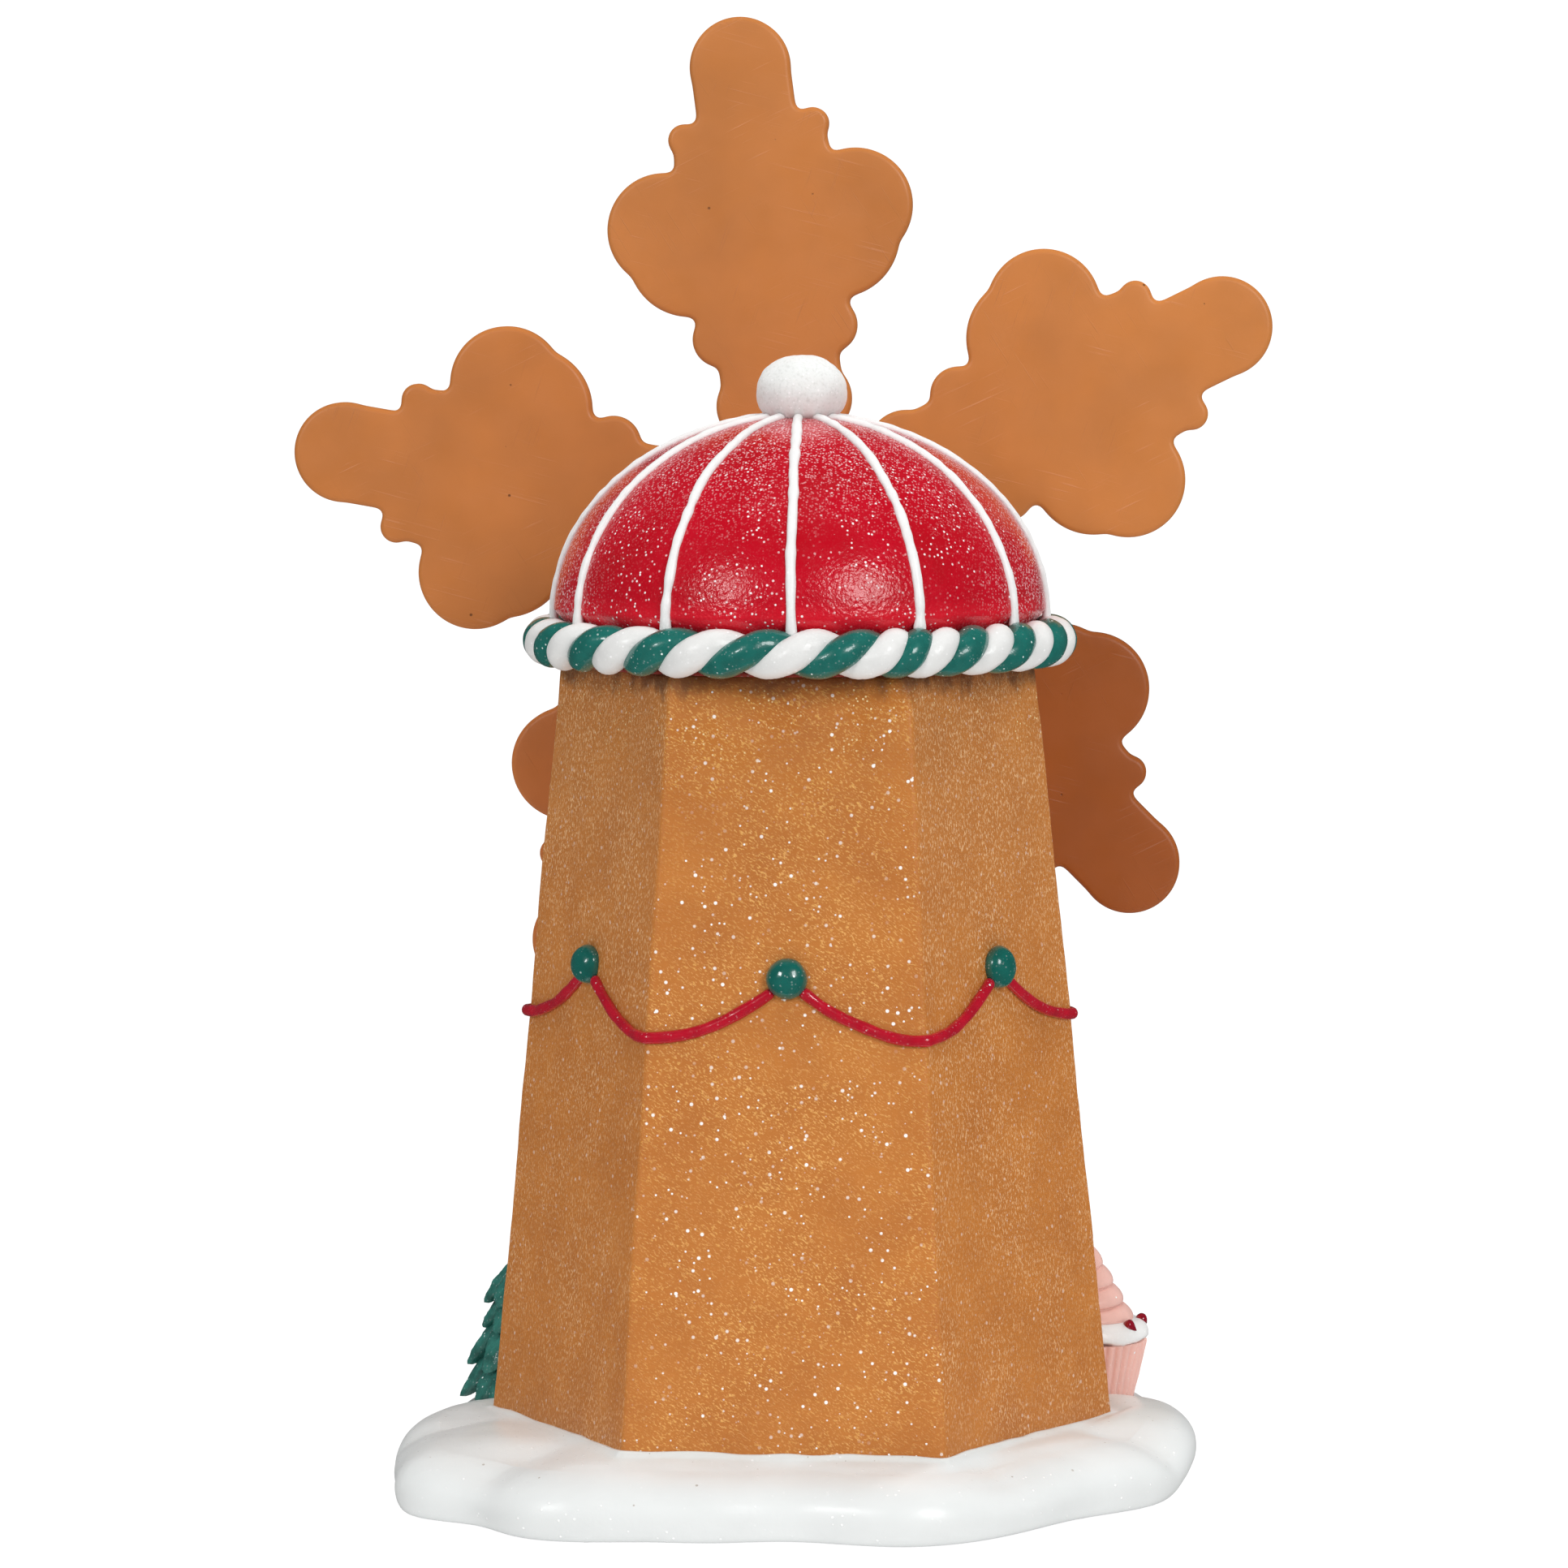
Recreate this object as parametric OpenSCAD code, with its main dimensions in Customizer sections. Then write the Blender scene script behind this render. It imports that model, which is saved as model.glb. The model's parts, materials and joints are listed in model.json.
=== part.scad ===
/* [Tower] */
// Distance from the tower's axis to its six edges, at the snow line
tower_foot_r = 62.2; // [61:0.1:63]
// Distance from the tower's axis to its six edges, at the top
tower_top_r = 47; // [46.5:0.1:47.2]
// Height of the tower's top above the ground
tower_top_z = 163.5; // [160:0.5:164]
// Thickness of the tower's cast wall
tower_wall = 4; // [3:0.5:6]

/* [Snow base] */
// Height of the snow at the tower's foot
snow_top_z = 15.1; // [14:0.1:16]
// Height of the snow where it rolls over its rim
snow_rim_z = 12.7; // [12:0.1:13]
// Thickness of the felt under the base
felt_t = 0.8; // [0.5:0.1:1.5]

/* [Dome] */
// Radius of the dome where it springs from the rope
dome_r = 48.9; // [48:0.1:49]
// Height of the dome from that spring line to its top
dome_h = 39.5; // [38:0.5:41]
// Thickness of the dome's cast wall
dome_wall = 4; // [3:0.5:5]
// Number of piped ribs on the dome
rib_count = 12; // [12:1:12]
// Width of a piped rib
rib_w = 2.1; // [1.8:0.1:2.4]
// Width of the round bobble on the top
pompom_w = 17.9; // [16:0.1:19]

/* [Candy rope] */
// Radius of the rope's centre line
rope_r = 50; // [50:0.1:50.2]
// Radius of one strand
strand_r = 2.4; // [2.2:0.05:2.4]
// Number of twists in the whole ring
rope_twists = 20; // [18:1:22]

/* [Garland] */
// Height of the green drops
drop_z = 106.5; // [104:0.5:110]
// Radius of a green drop
drop_r = 4; // [3.5:0.1:4.5]
// Lowest height of the swags, at the tower's edges
swag_low_z = 94.9; // [93:0.1:96]
// Radius of the piped swag
swag_r = 1.15; // [0.9:0.05:1.3]

/* [Rotor] */
// Number of blades
blade_count = 5; // [5:1:5]
// Distance from the hub to the middle of a blade's round tip
blade_reach = 97.3; // [95:0.1:98]
// Thickness of a blade
blade_t = 5; // [4:0.5:6]
// Angle of the first blade from upright, towards +X
blade_first_a = 7.94; // [0:0.01:72]
// Sideways place of the hub
hub_x = 3.6; // [2:0.1:4]
// Height of the hub
hub_z = 188.1; // [187:0.1:190]
// Radius of the axle
axle_r = 2; // [1.5:0.1:2.4]
// Gap between the axle and its bush, on the radius
axle_gap = 0.05; // [0.02:0.01:0.09]

/* [Hidden] */
ROTOR_NODES = concat(
    [for (i = [1:blade_count]) str("blade_", i)],
    [for (i = [1:blade_count]) str("blade_icing_", i)]
);
RIB_NODES = [for (i = [1:rib_count]) str("dome_rib_", i)];
DROP_NODES = [for (i = [1:6]) str("garland_drop_", i)];
SWAG_NODES = [for (i = [1:6]) str("garland_swag_", i)];

// Gap left between glued pieces so that no two solids share space
glue = 0.03;
// Overshoot of a cut past the surface it opens
over = 1;
// Clearance of a pressed bore, on the radius
press = 0.01;
sides = 6;
face_ratio = cos(180 / sides);

gingerbread = "#C68044";
snow_white = "#EFEFEF";
candy_red = "#BB011C";
holly_green = "#12655A";
tree_green = "#1C6B60";
sugar_pink = "#F0B5AC";
steel = "#B9BCC0";
brass_yellow = "#C9A227";

// ---- tower ----
tower_seat_z = 9;
edge_round = 1.2;
taper = (tower_foot_r - tower_top_r) / (tower_top_z - snow_top_z);
face_tilt = atan(taper * face_ratio);
function tower_r(z) = tower_foot_r - taper * (z - snow_top_z);
function face_out(z) = face_ratio * tower_r(z);

// Hexagon with a flat side to the back and front and its edges rounded
module tower_outline(r) {
    offset(r = edge_round) offset(delta = -edge_round) circle(r, $fn = sides);
}

// Solid six-sided taper between two heights, grown outwards by grow
module tower_taper(z0, z1, grow) {
    skin = 0.01;
    hull() {
        translate([0, 0, z0]) linear_extrude(skin) tower_outline(tower_r(z0) + grow, $fn = 24);
        translate([0, 0, z1 - skin]) linear_extrude(skin) tower_outline(tower_r(z1) + grow, $fn = 24);
    }
}

// Puts children on a tower face: x runs across it, y up it and z out of it
module on_face(a, z) {
    rotate([0, 0, a])
        translate([face_out(z), 0, z])
            rotate([0, -face_tilt, 0])
                rotate([90, 0, 90])
                    children();
}

// ---- snow base: crests and hollows of the rim as [angle, distance] ----
snow_rim = [
    [0, 81], [20, 83], [31, 89], [41, 80.5], [52, 83.5], [73, 71.5], [91, 66], [114, 75.5],
    [143, 70.5], [165, 78.5], [181, 79], [195, 78], [214, 83], [232, 77], [252, 66],
    [270, 63], [290, 67], [312, 84], [335, 80], [347, 78.5], [360, 81]
];
snow_steps = 72;
function ease(t) = (1 - cos(180 * t)) / 2;
function rim_holds(a, i) = a >= snow_rim[i][0] && a < snow_rim[i + 1][0];
function rim_span(a) = [for (i = [0:len(snow_rim) - 2]) if (rim_holds(a, i)) i][0];
function rim_between(a, i) =
    let (p = snow_rim[i], q = snow_rim[i + 1])
    p[1] + (q[1] - p[1]) * ease((a - p[0]) / (q[0] - p[0]));
function rim_r(a) = rim_between(a, rim_span(a));

// Side profile of the rim as [inset, height], from the ground up and over
rim_under = 2.2;
rim_over = 6;
rim_profile = [
    [rim_under, felt_t], [0.7, felt_t + 1.2], [0, 4.5], [0.2, 8],
    [1.6, 10.6], [3.4, snow_rim_z - 0.7], [rim_over, snow_rim_z]
];
crown_steps = 4;
crown_r = 40;
crown_z = snow_top_z + 0.3;
felt_in = 5;
function ring_at(inset, z) =
    [for (k = [0:snow_steps - 1])
        let (a = k * 360 / snow_steps, r = rim_r(a) - inset)
        [r * cos(a), r * sin(a), z]];
function crown_ring(f) =
    [for (k = [0:snow_steps - 1])
        let (a = k * 360 / snow_steps, r = (rim_r(a) - rim_over) * (1 - f) + crown_r * f)
        [r * cos(a), r * sin(a), snow_rim_z + (crown_z - snow_rim_z) * ease(f)]];

// ---- small dressing on the snow ----
socket_depth = 3;
tree_at = [57, -27];
tree_foot_z = 12.2;
tree_top_z = 46;
tree_points = 9;
trunk_r = 2.2;
trunk_h = 6;
// Branch tiers from the ground up, as [tip reach, tip height, neck reach, neck height]
tree_tiers = [
    [14.6, 14.4, 11.6, 16.8], [14, 17.8, 9, 24.6], [10.3, 25.8, 8.5, 29.3],
    [10, 31, 4.8, 38], [6.2, 39.2, 3, 42.5]
];
cupcake_at = [-57, -33];
cupcake_z = 10.8;
cupcake_seat = 1;
wrapper_foot_r = 9.2;
wrapper_top_r = 12.2;
wrapper_h = 12.2;
wrapper_flutes = 36;
flute_depth = 0.5;
cream_z = cupcake_z + wrapper_h;
cream_h = 5.4;
swirl_foot_r = 8.8;
swirl_h = 15.6;
swirl_turns = 4;
swirl_roll = 0.9;
berry_r = 1.15;
berry_at = [11.4, -1.4];
berry_tilt = 35;
berry_up = 1.6;

// ---- dome ----
dome_steps = 24;
flange_r = 46;
flange_bore_r = 36;
flange_top_z = tower_top_z + 2;
flange_in_z = tower_top_z + 4;
groove_r = 44.9;
groove_low_z = tower_top_z + 3;
spring_z = 174.3;
groove_top_z = spring_z - 2.1;
throat_z = spring_z - 3;
apex_z = spring_z + dome_h;
function dome_pt(t, out) =
    [(dome_r + out) * cos(t), spring_z + (dome_h + out) * sin(t)];
function dome_t(r) = acos(r / dome_r);
boss_r = 7.5;
boss_y = -49.5;
boss_root_y = -30;
boss_gap = 1;
rib_sink = 0.1;
rib_low_t = 1.2;
rib_first_a = 91.7;
rib_at_axle = 7;
rib_top_r = 6.9;
pompom_top_z = apex_z + 12.2;
pompom_half_h = 6.8;
pompom_foot_r = 3.5;
pompom_foot_a = 40;

// ---- garland ----
swag_gap = drop_r - 0.6;
swag_flat = 0.96;

// ---- rope: strand k of two, at angle a round the ring ----
strand_off = strand_r + 0.09;
rope_z = tower_top_z + 5.8;
rope_steps = rope_twists * 8;
strand_sides = 6;

// ---- rotor, built lying on the hub's own axes and then stood up ----
blade_back_y = -60;
blade_lean = [-0.5, 0.1, 0.9, -0.3, 0.2];
hub_disc_r = 16;
hub_disc_t = 3;
hub_core_r = 8.5;
candy_r = 13.5;
candy_t = 6;
bush_r = 4;
bush_head_r = 5.5;
bush_head_t = 2;
bush_back_y = -34;
bush_front_y = -55.6;
washer_r = 5;
washer_t = 0.8;
clip_r = 4.5;
clip_t = 2;
run_gap = 0.3;
axle_back_y = -30;
axle_sink = 2.5;
icing_in = 3;
icing_w = 2;
icing_t = 1.4;
icing_clear = 1.5;

// ---- front door and window, relief pieces on the front face ----
trim_w = 3;
trim_t = 2.6;
door_w = 25;
door_rise = 40;
door_foot_z = 17;
door_t = 2;
knob_r = 1.6;
knob_at = [8.5, 22];
window_z = 126;
window_r = 9;
pane_t = 1.2;
bar_w = 1.8;
bar_t = 0.9;

// ---- generic sweep: rings of points, each ring wound the same way ----
module loft(rings, closed = false) {
    n = len(rings);
    m = len(rings[0]);
    sides_of = [
        for (i = [0:n - (closed ? 1 : 2)]) for (j = [0:m - 1])
            let (a = i * m, b = ((i + 1) % n) * m, k = (j + 1) % m)
            each [[a + j, b + j, b + k], [a + j, b + k, a + k]]
    ];
    caps = closed ? [] : [[for (j = [0:m - 1]) j], [for (j = [0:m - 1]) n * m - 1 - j]];
    polyhedron([for (r = rings) each r], concat(sides_of, caps), convexity = 8);
}

// =================== fixed pieces ===================

module snow_base() {
    color(snow_white) difference() {
        loft(concat(
            [for (p = rim_profile) ring_at(p[0], p[1])],
            [for (i = [1:crown_steps]) crown_ring(i / crown_steps)]
        ));
        tower_taper(tower_seat_z, crown_z + over, glue);
        translate([tree_at.x, tree_at.y, tree_foot_z - socket_depth])
            cylinder(h = trunk_h, r = trunk_r + glue, $fn = 32);
        translate([cupcake_at.x, cupcake_at.y, cupcake_z - glue])
            cylinder(h = wrapper_h, r = wrapper_foot_r + cupcake_seat, $fn = 48);
    }
}

module felt_pad() {
    color("#3C4A45") linear_extrude(felt_t - glue)
        polygon([for (a = [0:10:350]) (rim_r(a) - felt_in) * [cos(a), sin(a)]]);
}

module tower_shell() {
    color(gingerbread) difference() {
        tower_taper(tower_seat_z + glue, tower_top_z, 0);
        tower_taper(tower_seat_z - over, tower_top_z + over, -tower_wall / face_ratio);
    }
}

// Inner half outline of the dome, from its top down to the flange's bore
function dome_inner() = concat(
    [[0, apex_z - dome_wall]],
    [for (i = [dome_steps - 1:-1:1])
        [(dome_r - dome_wall) * cos(90 * i / dome_steps),
         spring_z + (dome_h - dome_wall) * sin(90 * i / dome_steps)]],
    [[groove_r - dome_wall, throat_z], [flange_bore_r, flange_in_z]]
);

// Half outline of the dome: flange, groove for the rope, curved shell
function dome_outline() = concat(
    [[flange_bore_r, tower_top_z + glue], [flange_r, tower_top_z + glue], [flange_r, flange_top_z]],
    [[groove_r, groove_low_z], [groove_r, groove_top_z]],
    [for (i = [0:dome_steps - 1]) dome_pt(90 * i / dome_steps, 0)],
    [[0, apex_z]],
    dome_inner()
);

// Fills the space inside the dome, to trim the boss at the inner wall
module dome_inside() {
    rotate_extrude($fn = 96)
        polygon(concat(dome_inner(), [[flange_bore_r, tower_top_z], [0, tower_top_z]]));
}

module dome_cap() {
    color(candy_red) difference() {
        union() {
            rotate_extrude($fn = 96) polygon(dome_outline());
            difference() {
                rod(boss_root_y, boss_y, boss_r);
                dome_inside();
            }
        }
        rod(boss_root_y + over, boss_y - over, bush_r + press);
    }
}

// Round bar on the rotor's axis, from y0 forwards to y1
module rod(y0, y1, r) {
    translate([hub_x, y0, hub_z]) rotate([90, 0, 0]) cylinder(h = y0 - y1, r = r, $fn = 64);
}

module pompom() {
    mid_z = pompom_top_z - pompom_half_h;
    color(snow_white) rotate_extrude($fn = 64)
        polygon(concat(
            [[0, apex_z + glue], [pompom_foot_r, dome_pt(dome_t(pompom_foot_r), glue)[1]]],
            [for (a = [-pompom_foot_a:10:80])
                [pompom_w / 2 * cos(a), mid_z + pompom_half_h * sin(a)]],
            [[0, pompom_top_z]]
        ));
}

// One piped rib between two stations on the dome's curve
module rib_piece(t0, t1) {
    steps = max(2, round((t1 - t0) / 90 * dome_steps));
    bead = [for (b = [0:45:180]) [rib_w / 2 * cos(b), rib_w / 2 * sin(b)]];
    color(snow_white) loft([
        for (i = [0:steps])
            let (t = t0 + (t1 - t0) * i / steps, foot = dome_pt(t, rib_sink),
                 out = [dome_h * cos(t), dome_r * sin(t)] / norm([dome_h * cos(t), dome_r * sin(t)]))
            [for (p = bead) [foot[0] + p[1] * out[0], p[0], foot[1] + p[1] * out[1]]]
    ]);
}

module dome_rib(i) {
    a = rib_first_a + (i - 1) * 360 / rib_count;
    top_t = dome_t(rib_top_r);
    boss_low_t = asin((hub_z - boss_r - boss_gap - spring_z) / dome_h);
    boss_top_t = asin((hub_z + boss_r + boss_gap - spring_z) / dome_h);
    rotate([0, 0, a])
        if (i == rib_at_axle) {
            rib_piece(rib_low_t, boss_low_t);
            rib_piece(boss_top_t, top_t);
        } else {
            rib_piece(rib_low_t, top_t);
        }
}

// Closed helix of one candy strand round the ring
module rope_strand(k) {
    turn = 360 / rope_steps;
    loft([
        for (i = [0:rope_steps - 1])
            let (a = i * turn, w = 180 * k + a * rope_twists,
                 c = [rope_r + strand_off * cos(w), strand_off * sin(w)],
                 run = [c[0], rope_twists * strand_off] / norm([c[0], rope_twists * strand_off]),
                 u = [cos(w), sin(w)], v = [-sin(w), cos(w)] * run[0])
            [for (j = [0:strand_sides - 1])
                let (b = -360 * j / strand_sides - w,
                     q = c + strand_r * (cos(b) * u + sin(b) * v),
                     slip = -strand_r * sin(b) * run[1])
                [q[0] * cos(a) - slip * sin(a), q[0] * sin(a) + slip * cos(a), rope_z + q[1]]]
    ], closed = true);
}

module rope_white() {
    color(snow_white) rope_strand(0);
}

module rope_green() {
    color(holly_green) rope_strand(1);
}

module garland_drop(i) {
    color(holly_green) on_face(60 * i + 30, drop_z) translate([0, 0, glue])
        rotate_extrude($fn = 48) intersection() {
            circle(drop_r, $fn = 48);
            square(drop_r);
        }
}

// One swag across a tower edge, lowest at the edge; d runs along the two faces
module garland_swag(i) {
    droop = (drop_z - swag_low_z) / pow(tower_r(drop_z) / 2, 2);
    reach = tower_r(drop_z) / 2 - swag_gap;
    steps = 22;
    out = swag_r + glue;
    bend = out * PI / 3;
    color(candy_red) rotate([0, 0, 60 * (i - 1)]) loft([
        for (k = [0:steps])
            let (s = (2 * k / steps - 1) * (reach + bend / 2), d = max(abs(s) - bend / 2, 0),
                 side = s < 0 ? -1 : 1, z = swag_low_z + droop * d * d * swag_flat,
                 turn_a = 30 * min(abs(s) / (bend / 2), 1) * side,
                 corner = [tower_r(z), 0],
                 along = [-sin(30), cos(30) * side] * d,
                 c = corner + along + out * [cos(turn_a), sin(turn_a)],
                 slope = 2 * droop * d * side,
                 n = [cos(turn_a), sin(turn_a), taper * face_ratio],
                 t = [-sin(turn_a), cos(turn_a), slope],
                 tn = t / norm(t), w = cross(n, tn) / norm(cross(n, tn)), v = cross(tn, w))
            [for (b = [0:45:315])
                [c[0], c[1], z] + swag_r * (cos(b) * v - sin(b) * w)]
    ]);
}

module axle_bush() {
    color(brass_yellow) difference() {
        union() {
            rod(bush_back_y, bush_front_y, bush_r);
            rod(bush_front_y + bush_head_t, bush_front_y, bush_head_r);
        }
        rod(bush_back_y + over, bush_front_y - over, axle_r + axle_gap);
    }
}

module tree_trunk() {
    color("#6B4426") translate([tree_at.x, tree_at.y, tree_foot_z - socket_depth + glue])
        cylinder(h = trunk_h, r = trunk_r, $fn = 32);
}

// Ring of branch tips and the hollows between them; the tips dip lower
function tree_star(r, deep, z, dip, turn) =
    [for (j = [0:2 * tree_points - 1])
        let (a = 180 * j / tree_points + turn, tip = j % 2 == 0, q = tip ? r : r * deep)
        [q * cos(a), q * sin(a), z + (tip ? 0 : dip)]];

// Drooping tiers of branches, cut flat where they meet the tower
module tree_foliage() {
    skirt_z = tree_foot_z - socket_depth + trunk_h + 2 * glue;
    skirt_r = 3;
    droop = 0.7;
    tiers = len(tree_tiers);
    color(tree_green) difference() {
        translate([tree_at.x, tree_at.y, 0]) loft(concat(
            [tree_star(skirt_r, 0.9, skirt_z, 0, 10)],
            [for (k = [0:tiers - 1]) let (t = tree_tiers[k], turn = 20 * k + 10) each [
                tree_star(t[0], 0.8, t[1], droop, turn),
                tree_star((t[0] + t[2]) * 0.5, 0.88, (t[1] + t[3]) * 0.5 + droop, 0, turn),
                tree_star(t[2], 0.95, t[3], 0, turn)]],
            [tree_star(0.5, 1, tree_top_z, 0, 20 * tiers + 10)]
        ));
        tower_taper(tower_seat_z, tree_top_z + over, glue);
    }
}

module cupcake_wrapper() {
    color(sugar_pink) translate([cupcake_at.x, cupcake_at.y, cupcake_z])
        linear_extrude(wrapper_h, scale = wrapper_top_r / wrapper_foot_r)
            polygon([
                for (k = [0:2 * wrapper_flutes - 1])
                    (wrapper_foot_r - (k % 2) * flute_depth)
                        * [cos(180 * k / wrapper_flutes), sin(180 * k / wrapper_flutes)]
            ]);
}

module cupcake_cream() {
    color(snow_white) translate([cupcake_at.x, cupcake_at.y, cream_z + glue])
        rotate_extrude($fn = 64) polygon([
            [0, 0], [11.6, 0], [12.6, 1], [12.7, 2.2],
            [12, 3.6], [10.4, 4.8], [8.4, cream_h], [0, cream_h]
        ]);
}

// Piped swirl: a cone whose flank rolls in and out once a turn
module cupcake_swirl() {
    levels = 24;
    m = 24;
    top_r = 0.5;
    function flank(z, a) =
        let (f = z / swirl_h, roll = (f * swirl_turns - a / 360) % 1)
        swirl_foot_r * (1 - f) + swirl_roll * (1 - f * 0.6) * sin(180 * abs(roll)) + top_r;
    color(sugar_pink) translate([cupcake_at.x, cupcake_at.y, cream_z + cream_h + 2 * glue]) loft([
        for (i = [0:levels])
            [for (k = [0:m - 1])
                let (a = 360 * k / m, z = swirl_h * i / levels, r = flank(z, a))
                [r * cos(a), r * sin(a), z]]
    ]);
}

// Berries round the outer side of the cream, away from the tower
module cupcake_berries() {
    color("#8E1026") for (a = [96:45:321])
        translate([cupcake_at.x, cupcake_at.y, cream_z + cream_h])
            rotate([0, 0, a]) translate([berry_at.x, 0, berry_at.y]) rotate([0, berry_tilt, 0])
                translate([0, 0, berry_up]) rotate_extrude($fn = 24) intersection() {
                    circle(berry_r, $fn = 24);
                    translate([0, -berry_r]) square([berry_r, 2 * berry_r]);
                }
}

// Door outline: straight sides and a round head, standing on y = 0
module arch(w, rise) {
    translate([-w / 2, 0]) square([w, rise]);
    translate([0, rise]) circle(w / 2, $fn = 64);
}

module door_panel() {
    color("#9A4A22") on_face(-90, door_foot_z) translate([0, 0, glue])
        linear_extrude(door_t) arch(door_w, door_rise);
}

module door_frame() {
    color(snow_white) on_face(-90, door_foot_z) translate([0, 0, glue])
        linear_extrude(trim_t) difference() {
            arch(door_w + 2 * trim_w, door_rise);
            translate([0, -over]) arch(door_w + 2 * glue, door_rise + over);
        }
}

module door_knob() {
    color(holly_green) on_face(-90, door_foot_z)
        translate([knob_at.x, knob_at.y, door_t + 2 * glue])
            rotate_extrude($fn = 32) intersection() {
                circle(knob_r, $fn = 32);
                square([knob_r, knob_r]);
            }
}

module window_pane() {
    color("#F3D27A") on_face(-90, window_z) translate([0, 0, glue])
        cylinder(h = pane_t, r = window_r, $fn = 64);
}

module window_frame() {
    color(snow_white) on_face(-90, window_z) {
        translate([0, 0, glue]) difference() {
            cylinder(h = trim_t, r = window_r + trim_w, $fn = 64);
            translate([0, 0, -over]) cylinder(h = trim_t + 2 * over, r = window_r + glue, $fn = 64);
        }
        translate([0, 0, pane_t + 2 * glue]) linear_extrude(bar_t) intersection() {
            circle(window_r - glue, $fn = 64);
            union() {
                square([2 * window_r, bar_w], center = true);
                square([bar_w, 2 * window_r], center = true);
            }
        }
    }
}

// =================== turning pieces ===================

module rotor_hub() {
    back_y = blade_back_y + hub_disc_t;
    color(gingerbread) difference() {
        union() {
            rod(back_y, blade_back_y + glue, hub_disc_r);
            rod(back_y, blade_back_y - blade_t, hub_core_r);
        }
        rod(back_y + over, blade_back_y - blade_t - over, axle_r + press);
    }
}

module hub_candy() {
    front_y = blade_back_y - blade_t - glue;
    color(snow_white) difference() {
        translate([hub_x, front_y, hub_z]) rotate([90, 0, 0]) rotate_extrude($fn = 96) polygon([
            [0, 0], [candy_r, 0], [candy_r, candy_t * 0.45], [candy_r - 1, candy_t * 0.8],
            [candy_r - 3, candy_t], [0, candy_t]
        ]);
        rod(front_y + over, front_y - axle_sink - press, axle_r + press);
    }
}

module axle() {
    tip_y = blade_back_y - blade_t - axle_sink;
    color(steel) rod(axle_back_y, tip_y, axle_r);
}

module axle_washer() {
    y1 = blade_back_y + hub_disc_t + glue;
    color(steel) difference() {
        rod(y1 + washer_t, y1, washer_r);
        rod(y1 + washer_t + over, y1 - over, axle_r + press);
    }
}

module axle_clip() {
    y1 = bush_back_y + run_gap;
    color(steel) difference() {
        rod(y1 + clip_t, y1, clip_r);
        rod(y1 + clip_t + over, y1 - over, axle_r + press);
    }
}

// Right half of a lobed blade that points up from the hub at the origin
module blade_half() {
    tip_r = 10.5;
    neck_w = 10.3;
    shoulder_w = 13;
    waist_w = 12.6;
    translate([0, blade_reach]) circle(tip_r);
    translate([13.5, blade_reach - 13.4]) circle(3.4);
    translate([12.8, blade_reach - 17.6]) circle(3.4);
    translate([20.1, blade_reach - 31.3]) circle(11.9);
    translate([15.5, blade_reach - 37]) circle(13);
    translate([11.5, blade_reach - 55.3]) circle(5.8);
    translate([6.3, blade_reach - 70]) circle(7.9);
    polygon([
        [0, blade_reach], [neck_w, blade_reach], [neck_w, blade_reach - 12],
        [shoulder_w, blade_reach - 13], [shoulder_w, blade_reach - 45],
        [waist_w, blade_reach - 55], [waist_w, 30], [8.6, 14], [5.6, 10], [0, 10]
    ]);
}

// Whole outline with filleted notches, grown outwards by grow
module blade_outline(grow = 0) {
    fillet = 1.5;
    offset(r = grow - fillet, $fn = 24) offset(r = fillet, $fn = 24) {
        blade_half($fn = 40);
        mirror([1, 0]) blade_half($fn = 40);
    }
}

// Turns the upright outline into blade i, standing in the rotor's plane
module blade_place(i, y) {
    a = blade_first_a - (i - 1) * 360 / blade_count + blade_lean[i - 1];
    translate([hub_x, y, hub_z]) rotate([90, 0, 0]) rotate([0, 0, -a]) children();
}

module blade(i) {
    color(gingerbread) blade_place(i, blade_back_y)
        linear_extrude(blade_t) blade_outline();
}

// Piped line of icing that follows the blade's edge on its front
module blade_icing(i) {
    color(snow_white) blade_place(i, blade_back_y - blade_t - glue)
        linear_extrude(icing_t) difference() {
            blade_outline(-icing_in);
            blade_outline(-icing_in - icing_w);
            translate([-hub_disc_r, 0]) square([2 * hub_disc_r, candy_r + icing_clear]);
        }
}

snow_base();
felt_pad();
tower_shell();
dome_cap();
pompom();
rope_white();
rope_green();
for (i = [1:rib_count]) dome_rib(i);
for (i = [1:6]) garland_drop(i);
for (i = [1:6]) garland_swag(i);
axle_bush();
tree_trunk();
tree_foliage();
cupcake_wrapper();
cupcake_cream();
cupcake_swirl();
cupcake_berries();
door_panel();
door_frame();
door_knob();
window_pane();
window_frame();
rotor_hub();
hub_candy();
axle();
axle_washer();
axle_clip();
for (i = [1:blade_count]) blade(i);
for (i = [1:blade_count]) blade_icing(i);
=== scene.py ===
import json
import math

import bmesh
import bpy
import numpy as np
from mathutils import Matrix, Vector, noise
from mathutils.bvhtree import BVHTree
from mathutils.geometry import delaunay_2d_cdt


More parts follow.
